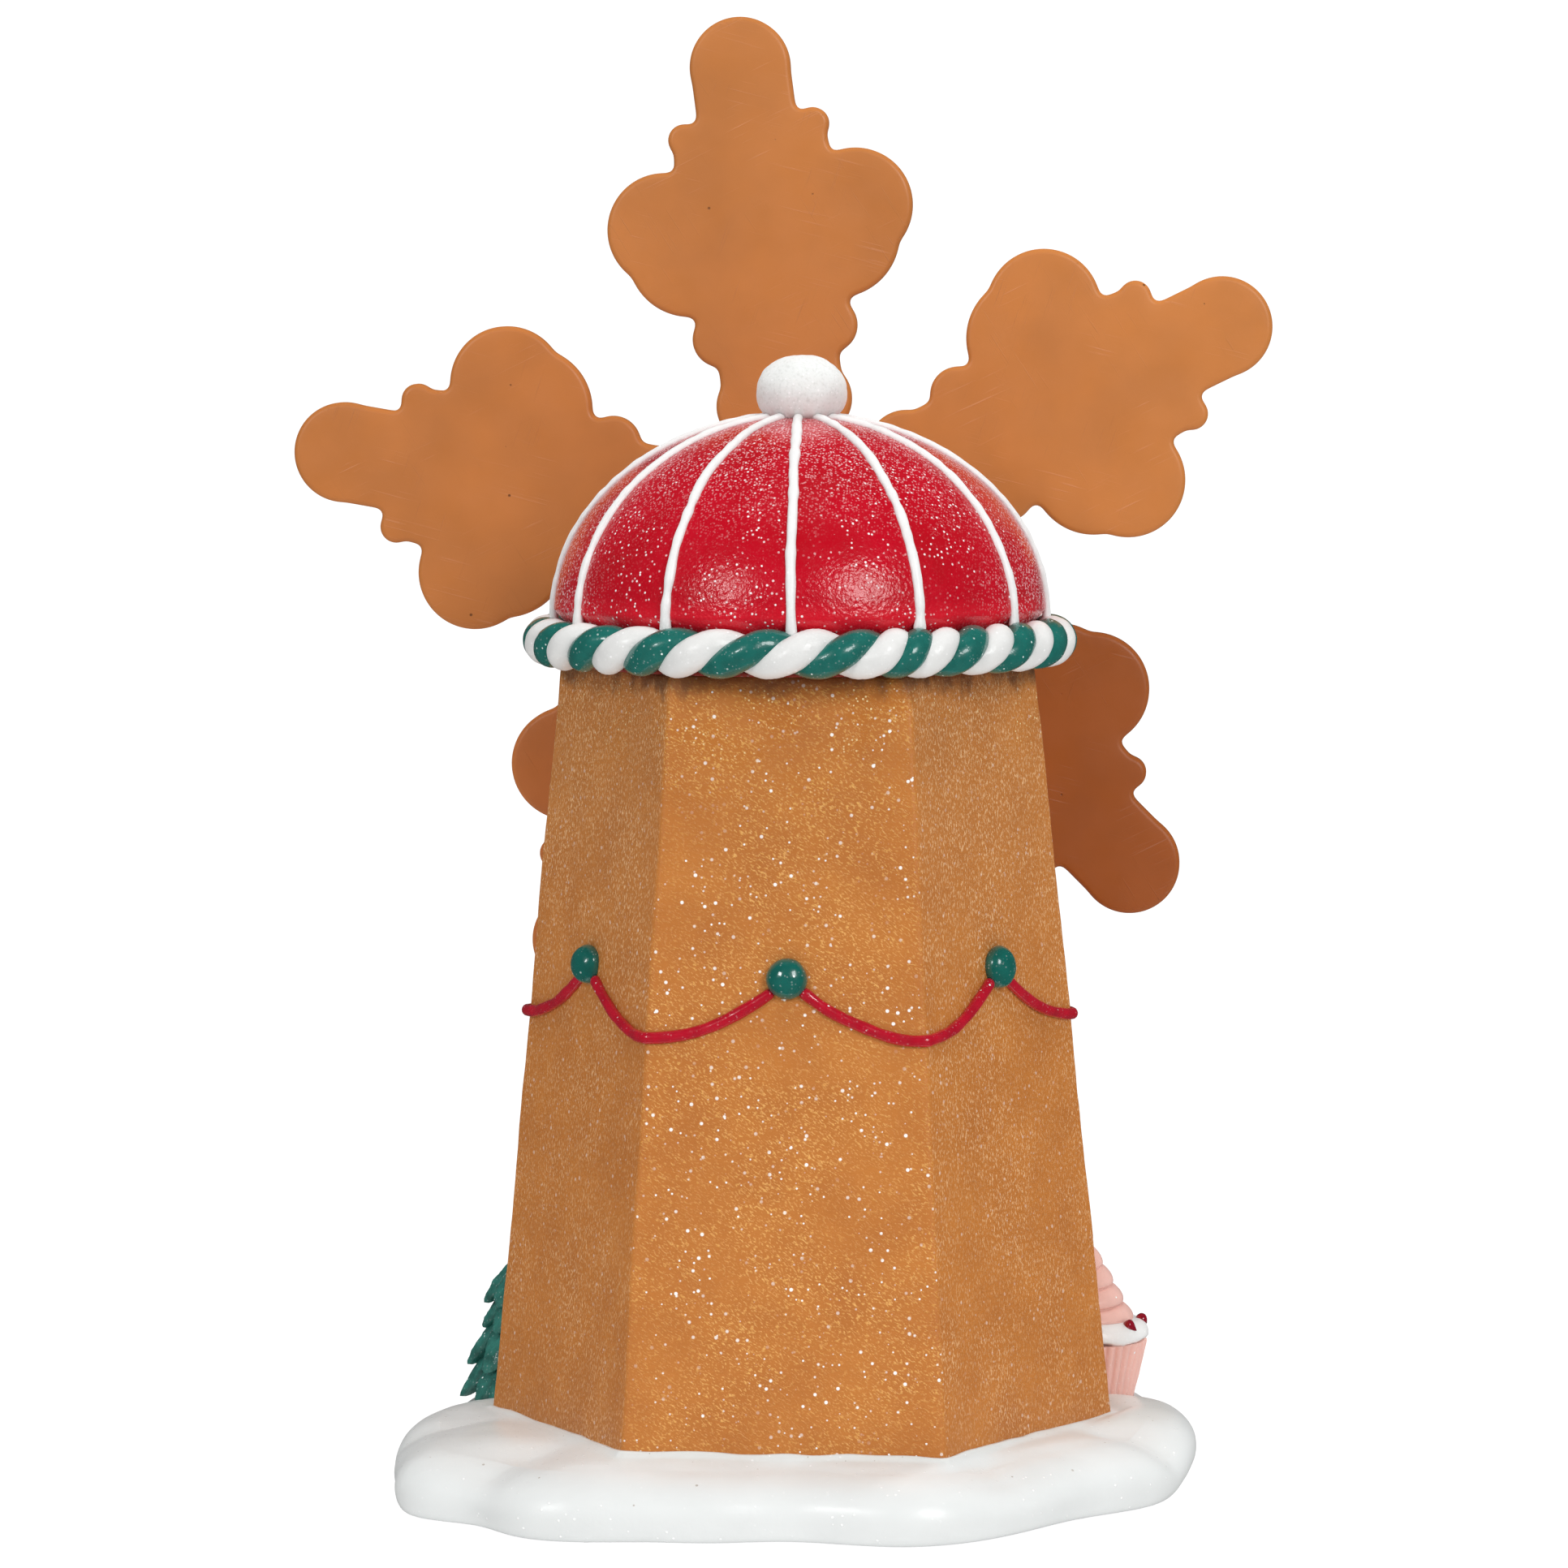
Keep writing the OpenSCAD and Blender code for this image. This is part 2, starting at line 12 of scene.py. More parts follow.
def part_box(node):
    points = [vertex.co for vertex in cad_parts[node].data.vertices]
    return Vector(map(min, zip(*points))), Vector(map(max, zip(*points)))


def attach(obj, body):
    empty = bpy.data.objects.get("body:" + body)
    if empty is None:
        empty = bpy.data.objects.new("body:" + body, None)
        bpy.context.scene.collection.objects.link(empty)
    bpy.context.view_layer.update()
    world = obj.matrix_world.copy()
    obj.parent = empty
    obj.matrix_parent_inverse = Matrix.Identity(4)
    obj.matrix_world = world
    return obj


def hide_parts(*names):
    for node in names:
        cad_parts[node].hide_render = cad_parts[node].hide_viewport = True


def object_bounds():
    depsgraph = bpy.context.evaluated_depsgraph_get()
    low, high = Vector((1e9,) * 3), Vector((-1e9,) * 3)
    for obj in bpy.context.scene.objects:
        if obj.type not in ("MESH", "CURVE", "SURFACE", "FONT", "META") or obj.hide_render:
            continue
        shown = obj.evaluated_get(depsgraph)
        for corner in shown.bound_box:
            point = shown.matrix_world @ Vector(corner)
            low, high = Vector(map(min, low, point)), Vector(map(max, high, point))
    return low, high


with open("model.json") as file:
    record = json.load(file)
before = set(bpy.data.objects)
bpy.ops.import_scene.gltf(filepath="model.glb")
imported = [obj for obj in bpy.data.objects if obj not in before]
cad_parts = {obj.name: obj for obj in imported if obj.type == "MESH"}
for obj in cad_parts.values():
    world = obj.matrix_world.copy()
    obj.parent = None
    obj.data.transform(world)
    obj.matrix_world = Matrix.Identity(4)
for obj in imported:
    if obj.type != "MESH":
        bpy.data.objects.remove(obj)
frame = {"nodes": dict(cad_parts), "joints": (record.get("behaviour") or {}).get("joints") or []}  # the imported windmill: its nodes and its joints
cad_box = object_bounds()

# Lengths are in metres, in the CAD frame: +Z is up and the back of the windmill faces +Y.
MM = 0.001
UP = Vector((0, 0, 1))
BACK = Vector((0, 1, 0))
FAR = 0.5
SIDES = 6
TURN = 2 * math.pi


# =================== camera, floor and light ===================

VIEW_FROM = Vector((-0.0777, 1.2285, 0.2402))
VIEW_AT = Vector((0.0032, 0, 0.1404))
VIEW_ROLL = -0.0014
LENS = 142.2


def add_object(name, data):
    made = bpy.data.objects.new(name, data)
    bpy.context.scene.collection.objects.link(made)
    return made


def add_camera():
    lens = bpy.data.cameras.new("camera")
    lens.lens = LENS
    lens.sensor_width = 36
    lens.clip_start, lens.clip_end = 0.01, 50
    camera = add_object("camera", lens)
    camera.location = VIEW_FROM
    look = (VIEW_AT - VIEW_FROM).to_track_quat("-Z", "Y").to_matrix()
    camera.rotation_euler = (look @ Matrix.Rotation(VIEW_ROLL, 3, "Z")).to_euler()
    bpy.context.scene.camera = camera


def softbox(name, azimuth, height, distance, size, power, glossy=True):
    """A square light at an azimuth from the back (+Y) towards +X, aimed at the windmill's middle."""
    lamp = bpy.data.lights.new(name, "AREA")
    lamp.shape = "SQUARE"
    lamp.size = size
    lamp.energy = power
    aim = (cad_box[0] + cad_box[1]) / 2
    a, h = math.radians(azimuth), math.radians(height)
    away = Vector((math.sin(a) * math.cos(h), math.cos(a) * math.cos(h), math.sin(h)))
    box = add_object(name, lamp)
    box.location = aim + away * distance
    box.rotation_euler = (-away).to_track_quat("-Z", "Y").to_euler()
    box.visible_glossy = glossy
    box.visible_camera = False


def add_light():
    """Two softboxes behind the camera, two in front of the windmill and one above it."""
    softbox("softbox_left", 33, 23.5, 1.7, 0.31, 5.8)
    softbox("softbox_right", -34.5, 23.5, 1.7, 0.54, 10.2)
    softbox("front_left", 140, 30, 1.8, 0.5, 7, glossy=False)
    softbox("front_right", -135, 30, 1.8, 0.5, 10, glossy=False)
    softbox("top", 0, 84, 1.6, 0.9, 10.5, glossy=False)


def add_world():
    """White all round: soft as light, faint in reflections and bright where the camera sees it."""
    world = bpy.data.worlds.new("studio")
    bpy.context.scene.world = world
    world.use_nodes = True
    nodes, links = world.node_tree.nodes, world.node_tree.links
    path = nodes.new("ShaderNodeLightPath")
    soft = nodes["Background"]
    soft.inputs["Color"].default_value = (1, 1, 1, 1)
    soft.inputs["Strength"].default_value = 0.44
    light = soft.outputs[0]
    for ray, strength in (("Is Glossy Ray", 0.06), ("Is Camera Ray", 1.1)):
        other, blend = nodes.new("ShaderNodeBackground"), nodes.new("ShaderNodeMixShader")
        other.inputs["Color"].default_value = (1, 1, 1, 1)
        other.inputs["Strength"].default_value = strength
        links.new(path.outputs[ray], blend.inputs[0])
        links.new(light, blend.inputs[1])
        links.new(other.outputs[0], blend.inputs[2])
        light = blend.outputs[0]
    links.new(light, nodes["World Output"].inputs["Surface"])


def add_floor():
    """A pale round floor, bright enough to run into the background."""
    mesh = bpy.data.meshes.new("floor")
    ring = [(0.4 * math.cos(a), 0.4 * math.sin(a), cad_box[0].z) for a in np.linspace(0, TURN, 64, False)]
    mesh.from_pydata(ring, [], [range(64)])
    paint = bpy.data.materials.new("floor_paint")
    paint.use_nodes = True
    shader = paint.node_tree.nodes["Principled BSDF"]
    shader.inputs["Base Color"].default_value = (0.2, 0.2, 0.2, 1)
    shader.inputs["Roughness"].default_value = 0.9
    shader.inputs["Specular IOR Level"].default_value = 0
    shader.inputs["Emission Color"].default_value = (1, 1, 1, 1)
    shader.inputs["Emission Strength"].default_value = 0.9
    mesh.materials.append(paint)
    floor = add_object("floor", mesh)
    floor.visible_glossy = False


bpy.context.scene.view_settings.view_transform = "Standard"
add_camera()
add_light()
add_world()
add_floor()


# =================== material building ===================


class Paint:
    """A material whose Principled shader is fed by small networks. Values that are the same all
    over go straight to the shader's sockets; pattern sizes are in metres of the real object."""

    def __init__(self, name, **sockets):
        self.material = bpy.data.materials.new(name)
        self.material.use_nodes = True
        self.tree = self.material.node_tree
        self.shader = self.tree.nodes["Principled BSDF"]
        self.place = self.tree.nodes.new("ShaderNodeTexCoord")
        self.where = self.place.outputs["Object"]
        self.height = None
        for socket, value in sockets.items():
            self.shader.inputs[socket.replace("_", " ")].default_value = value

    def add(self, kind, outlet, inlets, **settings):
        node = self.tree.nodes.new("ShaderNode" + kind)
        for key, value in settings.items():
            setattr(node, key, value)
        for key, value in inlets.items():
            self.feed(node.inputs[key], value)
        return node.outputs[outlet]

    def feed(self, socket, value):
        if isinstance(value, bpy.types.NodeSocket):
            self.tree.links.new(value, socket)
        else:
            socket.default_value = value

    def moved(self, seed, stretch=(1, 1, 1), turn=(0, 0, 0)):
        """Object coordinates, turned, then squeezed and shifted so that patterns differ."""
        turned = self.where
        if any(turn):
            turned = self.add("Mapping", "Vector", {"Vector": self.where, "Rotation": turn})
        shift = (seed * 0.37, seed * 0.61, seed * 0.23)
        return self.add("Mapping", "Vector", {"Vector": turned, "Location": shift, "Scale": stretch})

    def noise(self, size, detail=2.0, seed=0, **pull):
        return self.add("TexNoise", "Fac", {
            "Vector": self.moved(seed, **pull), "Scale": 1 / size, "Detail": detail})

    def math(self, operation, a, b=0.0):
        return self.add("Math", "Value", {0: a, 1: b}, operation=operation)

    def times(self, a, b):
        return self.math("MULTIPLY", a, b)

    def plus(self, a, b):
        return self.math("ADD", a, b)

    def most(self, a, b):
        return self.math("MAXIMUM", a, b)

    def ramp(self, value, low, high, out_low=0.0, out_high=1.0):
        """Maps low..high to out_low..out_high, without going past either."""
        return self.add("MapRange", "Result", {
            "Value": value, "From Min": low, "From Max": high, "To Min": out_low, "To Max": out_high})

    def patches(self, size, detail, seed, low, high, out_low=0.0, out_high=1.0):
        """Noise with its values from low to high mapped to out_low..out_high."""
        return self.ramp(self.noise(size, detail, seed), low, high, out_low, out_high)

    def toned(self, size, detail, seed, low, high, a, b):
        """Colour a and colour b in patches that run into each other."""
        return self.mix(self.patches(size, detail, seed, low, high), a, b)

    def flakes(self, spacing, size, share, seed=0, **pull):
        """Up to 1 on scattered flakes of about that size, 0 between them; share of the cells hold
        one, some duller than others."""
        cell = {"Vector": self.moved(seed, **pull), "Scale": 1 / spacing}
        near = self.add("TexVoronoi", "Distance", cell)
        lot = self.add("TexVoronoi", "Color", cell)
        pick = self.add("SeparateColor", "Red", {"Color": lot})
        shine = self.ramp(self.add("SeparateColor", "Green", {"Color": lot}), 0, 0.6, 0.35, 1)
        dot = self.ramp(near, 0.7 * size / spacing, 0.45 * size / spacing)
        return self.times(self.times(dot, shine), self.math("LESS_THAN", pick, share))

    def mix(self, factor, a, b):
        node = self.tree.nodes.new("ShaderNodeMix")
        node.data_type = "RGBA"
        self.feed(node.inputs["Factor"], factor)
        for socket, value in zip([i for i in node.inputs if i.type == "RGBA"], (a, b)):
            self.feed(socket, value if isinstance(value, bpy.types.NodeSocket) else (*value, 1))
        return [o for o in node.outputs if o.type == "RGBA"][0]

    def bump(self, height, depth):
        """Adds relief of that depth to the surface."""
        inlets = {"Height": height, "Distance": depth, "Strength": 1.0}
        if self.height is not None:
            inlets["Normal"] = self.height
        self.height = self.add("Bump", "Normal", inlets)
        self.tree.links.new(self.height, self.shader.inputs["Normal"])
        self.tree.links.new(self.height, self.shader.inputs["Coat Normal"])

    def colour(self, value):
        self.feed(self.shader.inputs["Base Color"], value)

    def rough(self, value):
        self.feed(self.shader.inputs["Roughness"], value)

    def facing(self, axis):
        """How squarely a face points along an axis, either way: 0 to 1."""
        part = self.add("SeparateXYZ", axis, {"Vector": self.place.outputs["Normal"]})
        return self.math("ABSOLUTE", part)

    def z(self):
        return self.add("SeparateXYZ", "Z", {"Vector": self.where})


WHITE = (0.84, 0.84, 0.83)


def shifted(tone, factor, lift=0.0):
    """A colour times a factor, raised by lift."""
    return tuple(lift + factor * c for c in tone)


def glitter_biscuit():
    """Painted gingerbread under fine gold glitter, with scattered bright white flakes. The faces
    turned to the sides carry a denser pale veil, paler towards the top, which is painted sheen
    standing for glitter caught at a grazing angle; the top is darkened below the rope, partly
    stain and partly painted shadow of the rope."""
    p = Paint("glitter_biscuit")
    patchy = p.patches(18 * MM, 3, 1, 0.4, 0.62)
    side = p.ramp(p.facing("Y"), 0.85, 0.6)
    base = p.toned(12 * MM, 4, 2, 0.3, 0.7, (0.47, 0.150, 0.020), (0.545, 0.186, 0.026))
    gold = p.ramp(p.noise(0.40 * MM, 2, 4, stretch=(0.6, 1, 1.2), turn=(0, 0.6, 0)), 0.52, 0.70)
    front_veil = p.mix(p.times(gold, p.ramp(patchy, 0, 1, 0.3, 0.8)), base, (0.86, 0.47, 0.13))
    chalk = p.ramp(p.noise(0.45 * MM, 2, 8, stretch=(1.2, 1.2, 0.6)), 0.52, 0.68)
    # Painted sheen: the side faces get a denser, paler veil, paler still towards the top, standing for
    # glitter caught at a grazing angle; the flecks in it are real glitter.
    high = p.ramp(p.z(), 90 * MM, 140 * MM)
    side_sheen_base = p.mix(p.ramp(high, 0, 1, 0.05, 0.17), base, (0.72, 0.34, 0.13))
    share = p.plus(p.ramp(patchy, 0, 1, 0.35, 0.75), p.times(high, 0.2))
    side_sheen_veil = p.mix(p.times(chalk, share), side_sheen_base, (0.90, 0.55, 0.28))
    fine = p.most(gold, p.times(chalk, side))
    glitter_and_painted_light = p.mix(side, front_veil, side_sheen_veil)
    where = p.patches(11 * MM, 2, 10, 0.41, 0.48, 0.2, 1)
    spark = p.most(p.flakes(2.2 * MM, 0.60 * MM, 0.65, 6), p.flakes(1.5 * MM, 0.36 * MM, 0.6, 7))
    spark = p.times(p.times(spark, where), p.ramp(side, 0, 1, 1, 0.3))
    glitter_and_painted_light = p.mix(spark, glitter_and_painted_light, (1.0, 0.98, 0.94))
    # Painted glints: golden flakes on shiny patches near the top are painted bright, partly gold glitter
    # and partly painted highlight.
    wet = p.times(p.ramp(p.z(), 136 * MM, 156 * MM), p.patches(9 * MM, 2, 12, 0.45, 0.6))
    glow = p.times(p.flakes(0.9 * MM, 0.32 * MM, 0.5, 13), wet)
    glitter_and_painted_light = p.mix(glow, glitter_and_painted_light, (1.0, 0.80, 0.42))
    # Darker below the rope: partly brown stain, partly painted shadow of the rope.
    ragged_reach = p.times(p.noise(4 * MM, 4, 3, stretch=(1, 1, 0.5)), 12 * MM)
    stain_and_rope_shadow = p.ramp(p.plus(p.z(), ragged_reach), 166.4 * MM, 170 * MM)
    p.colour(p.mix(p.times(stain_and_rope_shadow, 0.72), glitter_and_painted_light, (0.13, 0.045, 0.018)))
    p.rough(p.math("SUBTRACT", p.ramp(p.most(fine, spark), 0, 1, 0.46, 0.28), p.times(wet, 0.12)))
    p.bump(p.noise(1.3 * MM, 3, 11, stretch=(0.6, 0.6, 1.4)), 0.13 * MM)
    p.bump(p.most(fine, spark), 0.05 * MM)
    return p.material


def plain_biscuit(name, tone, seed):
    """Smooth brown paint with a few long thin scratches that cross, and some pinholes."""
    p = Paint(name)
    base = p.toned(18 * MM, 3, seed, 0.35, 0.65, shifted(tone, 0.93), shifted(tone, 1.05))
    dark = shifted(tone, 0.72)
    hair = shifted(tone, 1.05, 0.10)
    relief = []
    for k, angle in enumerate((0.25, 1.0, -0.45, 1.9)):
        line = p.noise(0.32 * MM, 1, seed + 10 + k, stretch=(0.022, 1, 1), turn=(0, angle, 0))
        where = p.patches(16 * MM, 1, seed + 20 + k, 0.52, 0.66)
        mark = p.times(p.ramp(line, 0.66, 0.78), where)
        base = p.mix(p.times(mark, 0.45), base, dark if k % 2 else hair)
        relief.append(mark)
    # The pinholes are painted dark as the shade inside them.
    pits = p.flakes(7 * MM, 0.5 * MM, 0.35, seed + 5)
    p.colour(p.mix(pits, base, shifted(tone, 0.35)))
    p.rough(p.patches(7 * MM, 3, seed + 6, 0.3, 0.7, 0.38, 0.5))
    p.bump(p.noise(2.5 * MM, 2, seed + 7), 0.04 * MM)
    for mark in relief:
        p.bump(mark, 0.03 * MM)
    p.bump(p.math("SUBTRACT", 1.0, pits), 0.12 * MM)
    return p.material


def snow_paint():
    """Satin white resin with tiny specks, loose glitter and some dust by the tower's foot."""
    p = Paint("snow_paint", Subsurface_Weight=0.25, Subsurface_Radius=(1, 1, 1),
              Subsurface_Scale=1.5 * MM)
    base = p.toned(20 * MM, 3, 21, 0.3, 0.7, (0.72, 0.738, 0.732), (0.77, 0.788, 0.782))
    ragged = p.times(p.noise(5 * MM, 3, 26), 2 * MM)
    dust = p.ramp(p.plus(p.z(), ragged), 14.6 * MM, 16 * MM)
    base = p.mix(p.times(dust, 0.12), base, (0.52, 0.44, 0.32))
    specks = p.flakes(6 * MM, 0.48 * MM, 0.5, 22)
    grit = p.times(p.flakes(1.4 * MM, 0.25 * MM, 0.5, 27), dust)
    base = p.mix(p.times(p.most(specks, grit), 0.75), base, (0.30, 0.23, 0.16))
    where = p.patches(24 * MM, 2, 23, 0.43, 0.55)
    spark = p.times(p.flakes(1.7 * MM, 0.46 * MM, 0.5, 24), where)
    p.colour(p.mix(spark, base, (1, 1, 1)))
    p.rough(p.ramp(spark, 0, 1, 0.31, 0.12))
    p.bump(p.noise(1.8 * MM, 3, 25), 0.06 * MM)
    p.bump(spark, 0.08 * MM)
    return p.material


def dome_paint():
    """Glossy crimson, finely crinkled, and brighter by the rope as painted reflection of the white
    rope; a speckled haze of glitter on the top and the flanks that is partly painted sheen, and
    white flakes that are partly painted glints; the flange under the rope is painted dark as the
    rope's shade, and dull."""
    p = Paint("dome_paint", Specular_IOR_Level=0.3, Coat_Roughness=0.13, Sheen_Roughness=0.4,
              Sheen_Tint=(1.0, 0.75, 0.77, 1))
    base = p.toned(12 * MM, 3, 31, 0.3, 0.7, (0.455, 0.0, 0.008), (0.54, 0.0, 0.014))
    # Painted reflection: the red is brighter low down by the rope, standing for the white rope's light seen
    # in the gloss.
    base = p.mix(p.ramp(p.z(), 179.5 * MM, 175 * MM, 0, 0.75), base, (0.80, 0.012, 0.03))
    ragged = p.times(p.noise(7 * MM, 3, 38), 14 * MM)
    # More glitter towards the top and on the flanks: partly glitter, partly painted sheen of glitter seen
    # at a grazing angle.
    top = p.ramp(p.plus(p.z(), ragged), 198 * MM, 215 * MM)
    flank = p.ramp(p.facing("X"), 0.72, 0.93)
    glitter_and_sheen = p.plus(p.patches(10 * MM, 3, 32, 0.45, 0.72, 0.0, 0.04), p.times(top, 0.8))
    glitter_and_sheen = p.plus(glitter_and_sheen, p.times(flank, 0.75))
    fine = p.most(p.flakes(0.62 * MM, 0.36 * MM, 0.6, 33), p.flakes(0.5 * MM, 0.28 * MM, 0.5, 39))
    glitter_and_painted_light = p.mix(p.times(fine, glitter_and_sheen), base, (0.90, 0.50, 0.53))
    # The white flakes are partly glitter and partly painted glints of the crinkled gloss.
    where = p.patches(15 * MM, 2, 35, 0.42, 0.52, 0.1, 1)
    spark = p.times(p.flakes(1.0 * MM, 0.40 * MM, 0.6, 34), where)
    glitter_and_painted_light = p.mix(spark, glitter_and_painted_light, (1.0, 0.93, 0.93))
    # Painted shade: the flange under the rope is darkened as the rope's shade.
    shade = p.ramp(p.z(), 169 * MM, 167.2 * MM)
    p.colour(p.mix(p.times(shade, 0.9), glitter_and_painted_light, (0.17, 0.025, 0.012)))
    p.rough(p.plus(p.patches(5 * MM, 2, 36, 0.3, 0.7, 0.20, 0.30), p.times(shade, 0.5)))
    p.feed(p.shader.inputs["Coat Weight"], p.ramp(shade, 0, 1, 0.36, 0))
    p.feed(p.shader.inputs["Sheen Weight"], p.ramp(fine, 0, 1, 0.03, 1))
    p.bump(p.noise(0.9 * MM, 2, 37), 0.17 * MM)
    p.bump(spark, 0.05 * MM)
    return p.material


def icing_paint(name, tone, seed, roughness=0.35, glint=0.35):
    """Piped sugar icing: satin, faintly uneven, with scattered glitter."""
    p = Paint(name, Subsurface_Weight=0.2, Subsurface_Radius=(1, 1, 1), Subsurface_Scale=0.8 * MM)
    base = p.toned(4 * MM, 3, seed, 0.3, 0.7, shifted(tone, 0.94), tone)
    spark = p.flakes(1.3 * MM, 0.4 * MM, glint, seed + 1)
    pale = shifted(tone, 0.55, 0.45)
    dust = p.times(p.flakes(0.6 * MM, 0.3 * MM, 0.4, seed + 2), 0.35)
    p.colour(p.mix(spark, p.mix(dust, base, pale), (1, 1, 1)))
    p.rough(p.ramp(spark, 0, 1, roughness, 0.15))
    p.bump(p.noise(0.7 * MM, 3, seed + 3), 0.08 * MM)
    return p.material


def bobble_paint():
    """White sugar crust: finely grained all over, with fine glitter."""
    p = Paint("bobble_paint", Subsurface_Weight=0.9, Subsurface_Radius=(1, 1, 1),
              Subsurface_Scale=4 * MM)
    grain = p.noise(0.6 * MM, 4, 51)
    base = p.mix(p.ramp(grain, 0.3, 0.5), (0.72, 0.73, 0.71), (0.82, 0.83, 0.815))
    spark = p.flakes(0.9 * MM, 0.34 * MM, 0.5, 52)
    p.colour(p.mix(spark, base, (1, 1, 1)))
    p.rough(p.ramp(spark, 0, 1, 0.5, 0.12))
    p.bump(grain, 0.16 * MM)
    return p.material


def glossy_paint(name, tone, seed, roughness=0.16, coat=0.6, depth=0.75, glint=0.35, grain=0.05):
    """Thick glossy paint, deeper in places, with a few pale glints."""
    p = Paint(name, Coat_Weight=coat, Coat_Roughness=0.06)
    base = p.toned(3 * MM, 3, seed, 0.3, 0.7, shifted(tone, depth), tone)
    pale = shifted(tone, 0.6, 0.3)
    dust = p.times(p.flakes(0.7 * MM, 0.3 * MM, 0.4, seed + 1), glint)
    spark = p.flakes(1.8 * MM, 0.36 * MM, glint, seed + 2)
    p.colour(p.mix(spark, p.mix(dust, base, pale), (0.9, 1, 0.97)))
    p.rough(p.patches(2 * MM, 2, seed + 3, 0.3, 0.7, roughness, roughness + 0.14))
    p.bump(p.noise(1.2 * MM, 2, seed + 4), grain * MM)
    return p.material


def metal_paint(name, tone, seed):
    """Turned metal with fine rings and a little tarnish."""
    p = Paint(name, Metallic=1.0)
    p.colour(p.toned(2 * MM, 4, seed, 0.45, 0.75, tone, shifted(tone, 0.6)))
    rings = p.noise(0.25 * MM, 1, seed + 1, stretch=(0.02, 1, 0.02))
    p.rough(p.ramp(rings, 0.3, 0.7, 0.22, 0.42))
    p.bump(rings, 0.01 * MM)
    return p.material


def felt_fibre():
    """Dark green matted fibres."""
    p = Paint("felt_fibre", Roughness=0.95, Sheen_Weight=0.4)
    tangle = p.noise(0.35 * MM, 5, 71)
    p.colour(p.mix(p.ramp(tangle, 0.3, 0.7), (0.018, 0.035, 0.028), (0.055, 0.085, 0.07)))
    p.bump(tangle, 0.2 * MM)
    return p.material


def wood_paint(name, light, dark, seed):
    """Brown painted grain that runs upwards."""
    p = Paint(name)
    grain = p.noise(1.2 * MM, 4, seed, stretch=(1, 1, 0.08))
    p.colour(p.mix(p.ramp(grain, 0.35, 0.65), light, dark))
    p.rough(p.ramp(grain, 0.3, 0.7, 0.38, 0.55))
    p.bump(grain, 0.12 * MM)
    return p.material


def amber_pane():
    """Window painted as warm sugar glass."""
    p = Paint("amber_pane", Roughness=0.12, Coat_Weight=0.5, Coat_Roughness=0.05)
    p.colour(p.toned(6 * MM, 3, 81, 0.3, 0.7, (0.78, 0.42, 0.07), (0.93, 0.66, 0.2)))
    p.bump(p.noise(3 * MM, 2, 82), 0.1 * MM)
    return p.material


def peppermint(hub):
    """White candy with red stripes that curl round the hub."""
    p = Paint("peppermint", Coat_Weight=0.5, Coat_Roughness=0.06)
    apart = p.add("VectorMath", "Vector", {0: p.where, 1: tuple(hub)}, operation="SUBTRACT")
    x = p.add("SeparateXYZ", "X", {"Vector": apart})
    z = p.add("SeparateXYZ", "Z", {"Vector": apart})
    span = p.math("SQRT", p.plus(p.times(x, x), p.times(z, z)))
    curl = p.plus(p.math("ARCTAN2", z, x), p.times(span, 70.0))
    wave = p.math("SINE", p.times(curl, 6.0))
    stripe = p.times(p.ramp(wave, 0.0, 0.12), p.ramp(span, 2.4 * MM, 2.9 * MM))
    red = p.toned(3 * MM, 2, 91, 0.3, 0.7, (0.42, 0.0, 0.01), (0.53, 0.006, 0.02))
    white = p.toned(4 * MM, 2, 92, 0.3, 0.7, (0.78, 0.77, 0.75), WHITE)
    p.colour(p.mix(stripe, white, red))
    p.rough(p.patches(2 * MM, 2, 94, 0.3, 0.7, 0.16, 0.28))
    p.bump(p.noise(2 * MM, 2, 93), 0.05 * MM)
    return p.material


# =================== mesh building ===================


def add_piece(name, verts, faces, material, slot, nodes=(), body="windmill"):
    """Makes a smooth piece that moves with a body and stands for those CAD nodes."""
    mesh = bpy.data.meshes.new(name)
    mesh.from_pydata(np.asarray(verts, float).tolist(), [], faces)
    form = bmesh.new()
    form.from_mesh(mesh)
    bmesh.ops.recalc_face_normals(form, faces=form.faces)
    form.to_mesh(mesh)
    form.free()
    return finish_piece(name, mesh, material, slot, nodes, body)


def dress(mesh, material):
    """Smooth shading, and that material alone."""
    mesh.shade_smooth()
    mesh.materials.clear()
    mesh.materials.append(material)


def finish_piece(name, mesh, material, slot, nodes, body):
    """An object of that mesh, with its body and the CAD nodes it stands for; slot is not used."""
    dress(mesh, material)
    piece = add_object(name, mesh)
    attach(piece, body)
    if nodes:
        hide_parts(*nodes)
    return piece


def fan(count):
    """Angles spaced evenly round a circle."""
    return np.linspace(0, TURN, count, False)


def rises(low, high, count):
    """Angles from low to high, both given as shares of a right angle."""
    return np.linspace(low, high, count) * math.pi / 2


def circle(turns):
    """Points of the unit circle in the x-y plane at those angles."""
    return np.stack([np.cos(turns), np.sin(turns)], 1)


def upright(turns):
    """Points of the unit circle in the x-z plane at those angles."""
    return np.stack([np.cos(turns), np.zeros(len(turns)), np.sin(turns)], 1)


def ring_at(plan, z):
    """Plan points lifted to a height."""
    return np.column_stack([plan, np.broadcast_to(z, len(plan))])


def middle_of(node):
    """The plan centre of a CAD node's box."""
    low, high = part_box(node)
    return (low.x + high.x) / 2, (low.y + high.y) / 2


def loft(rings, loop=False):
    """One closed skin over rings of points; the ends are capped unless the rings close up."""
    rings = np.asarray(rings, float)
    count, around = rings.shape[:2]
    faces = []
    for i in range(count if loop else count - 1):
        a, b = i * around, (i + 1) % count * around
        faces += [(a + j, a + (j + 1) % around, b + (j + 1) % around, b + j) for j in range(around)]
    if not loop:
        faces += [tuple(reversed(range(around))), tuple(range((count - 1) * around, count * around))]
    return rings.reshape(-1, 3), faces


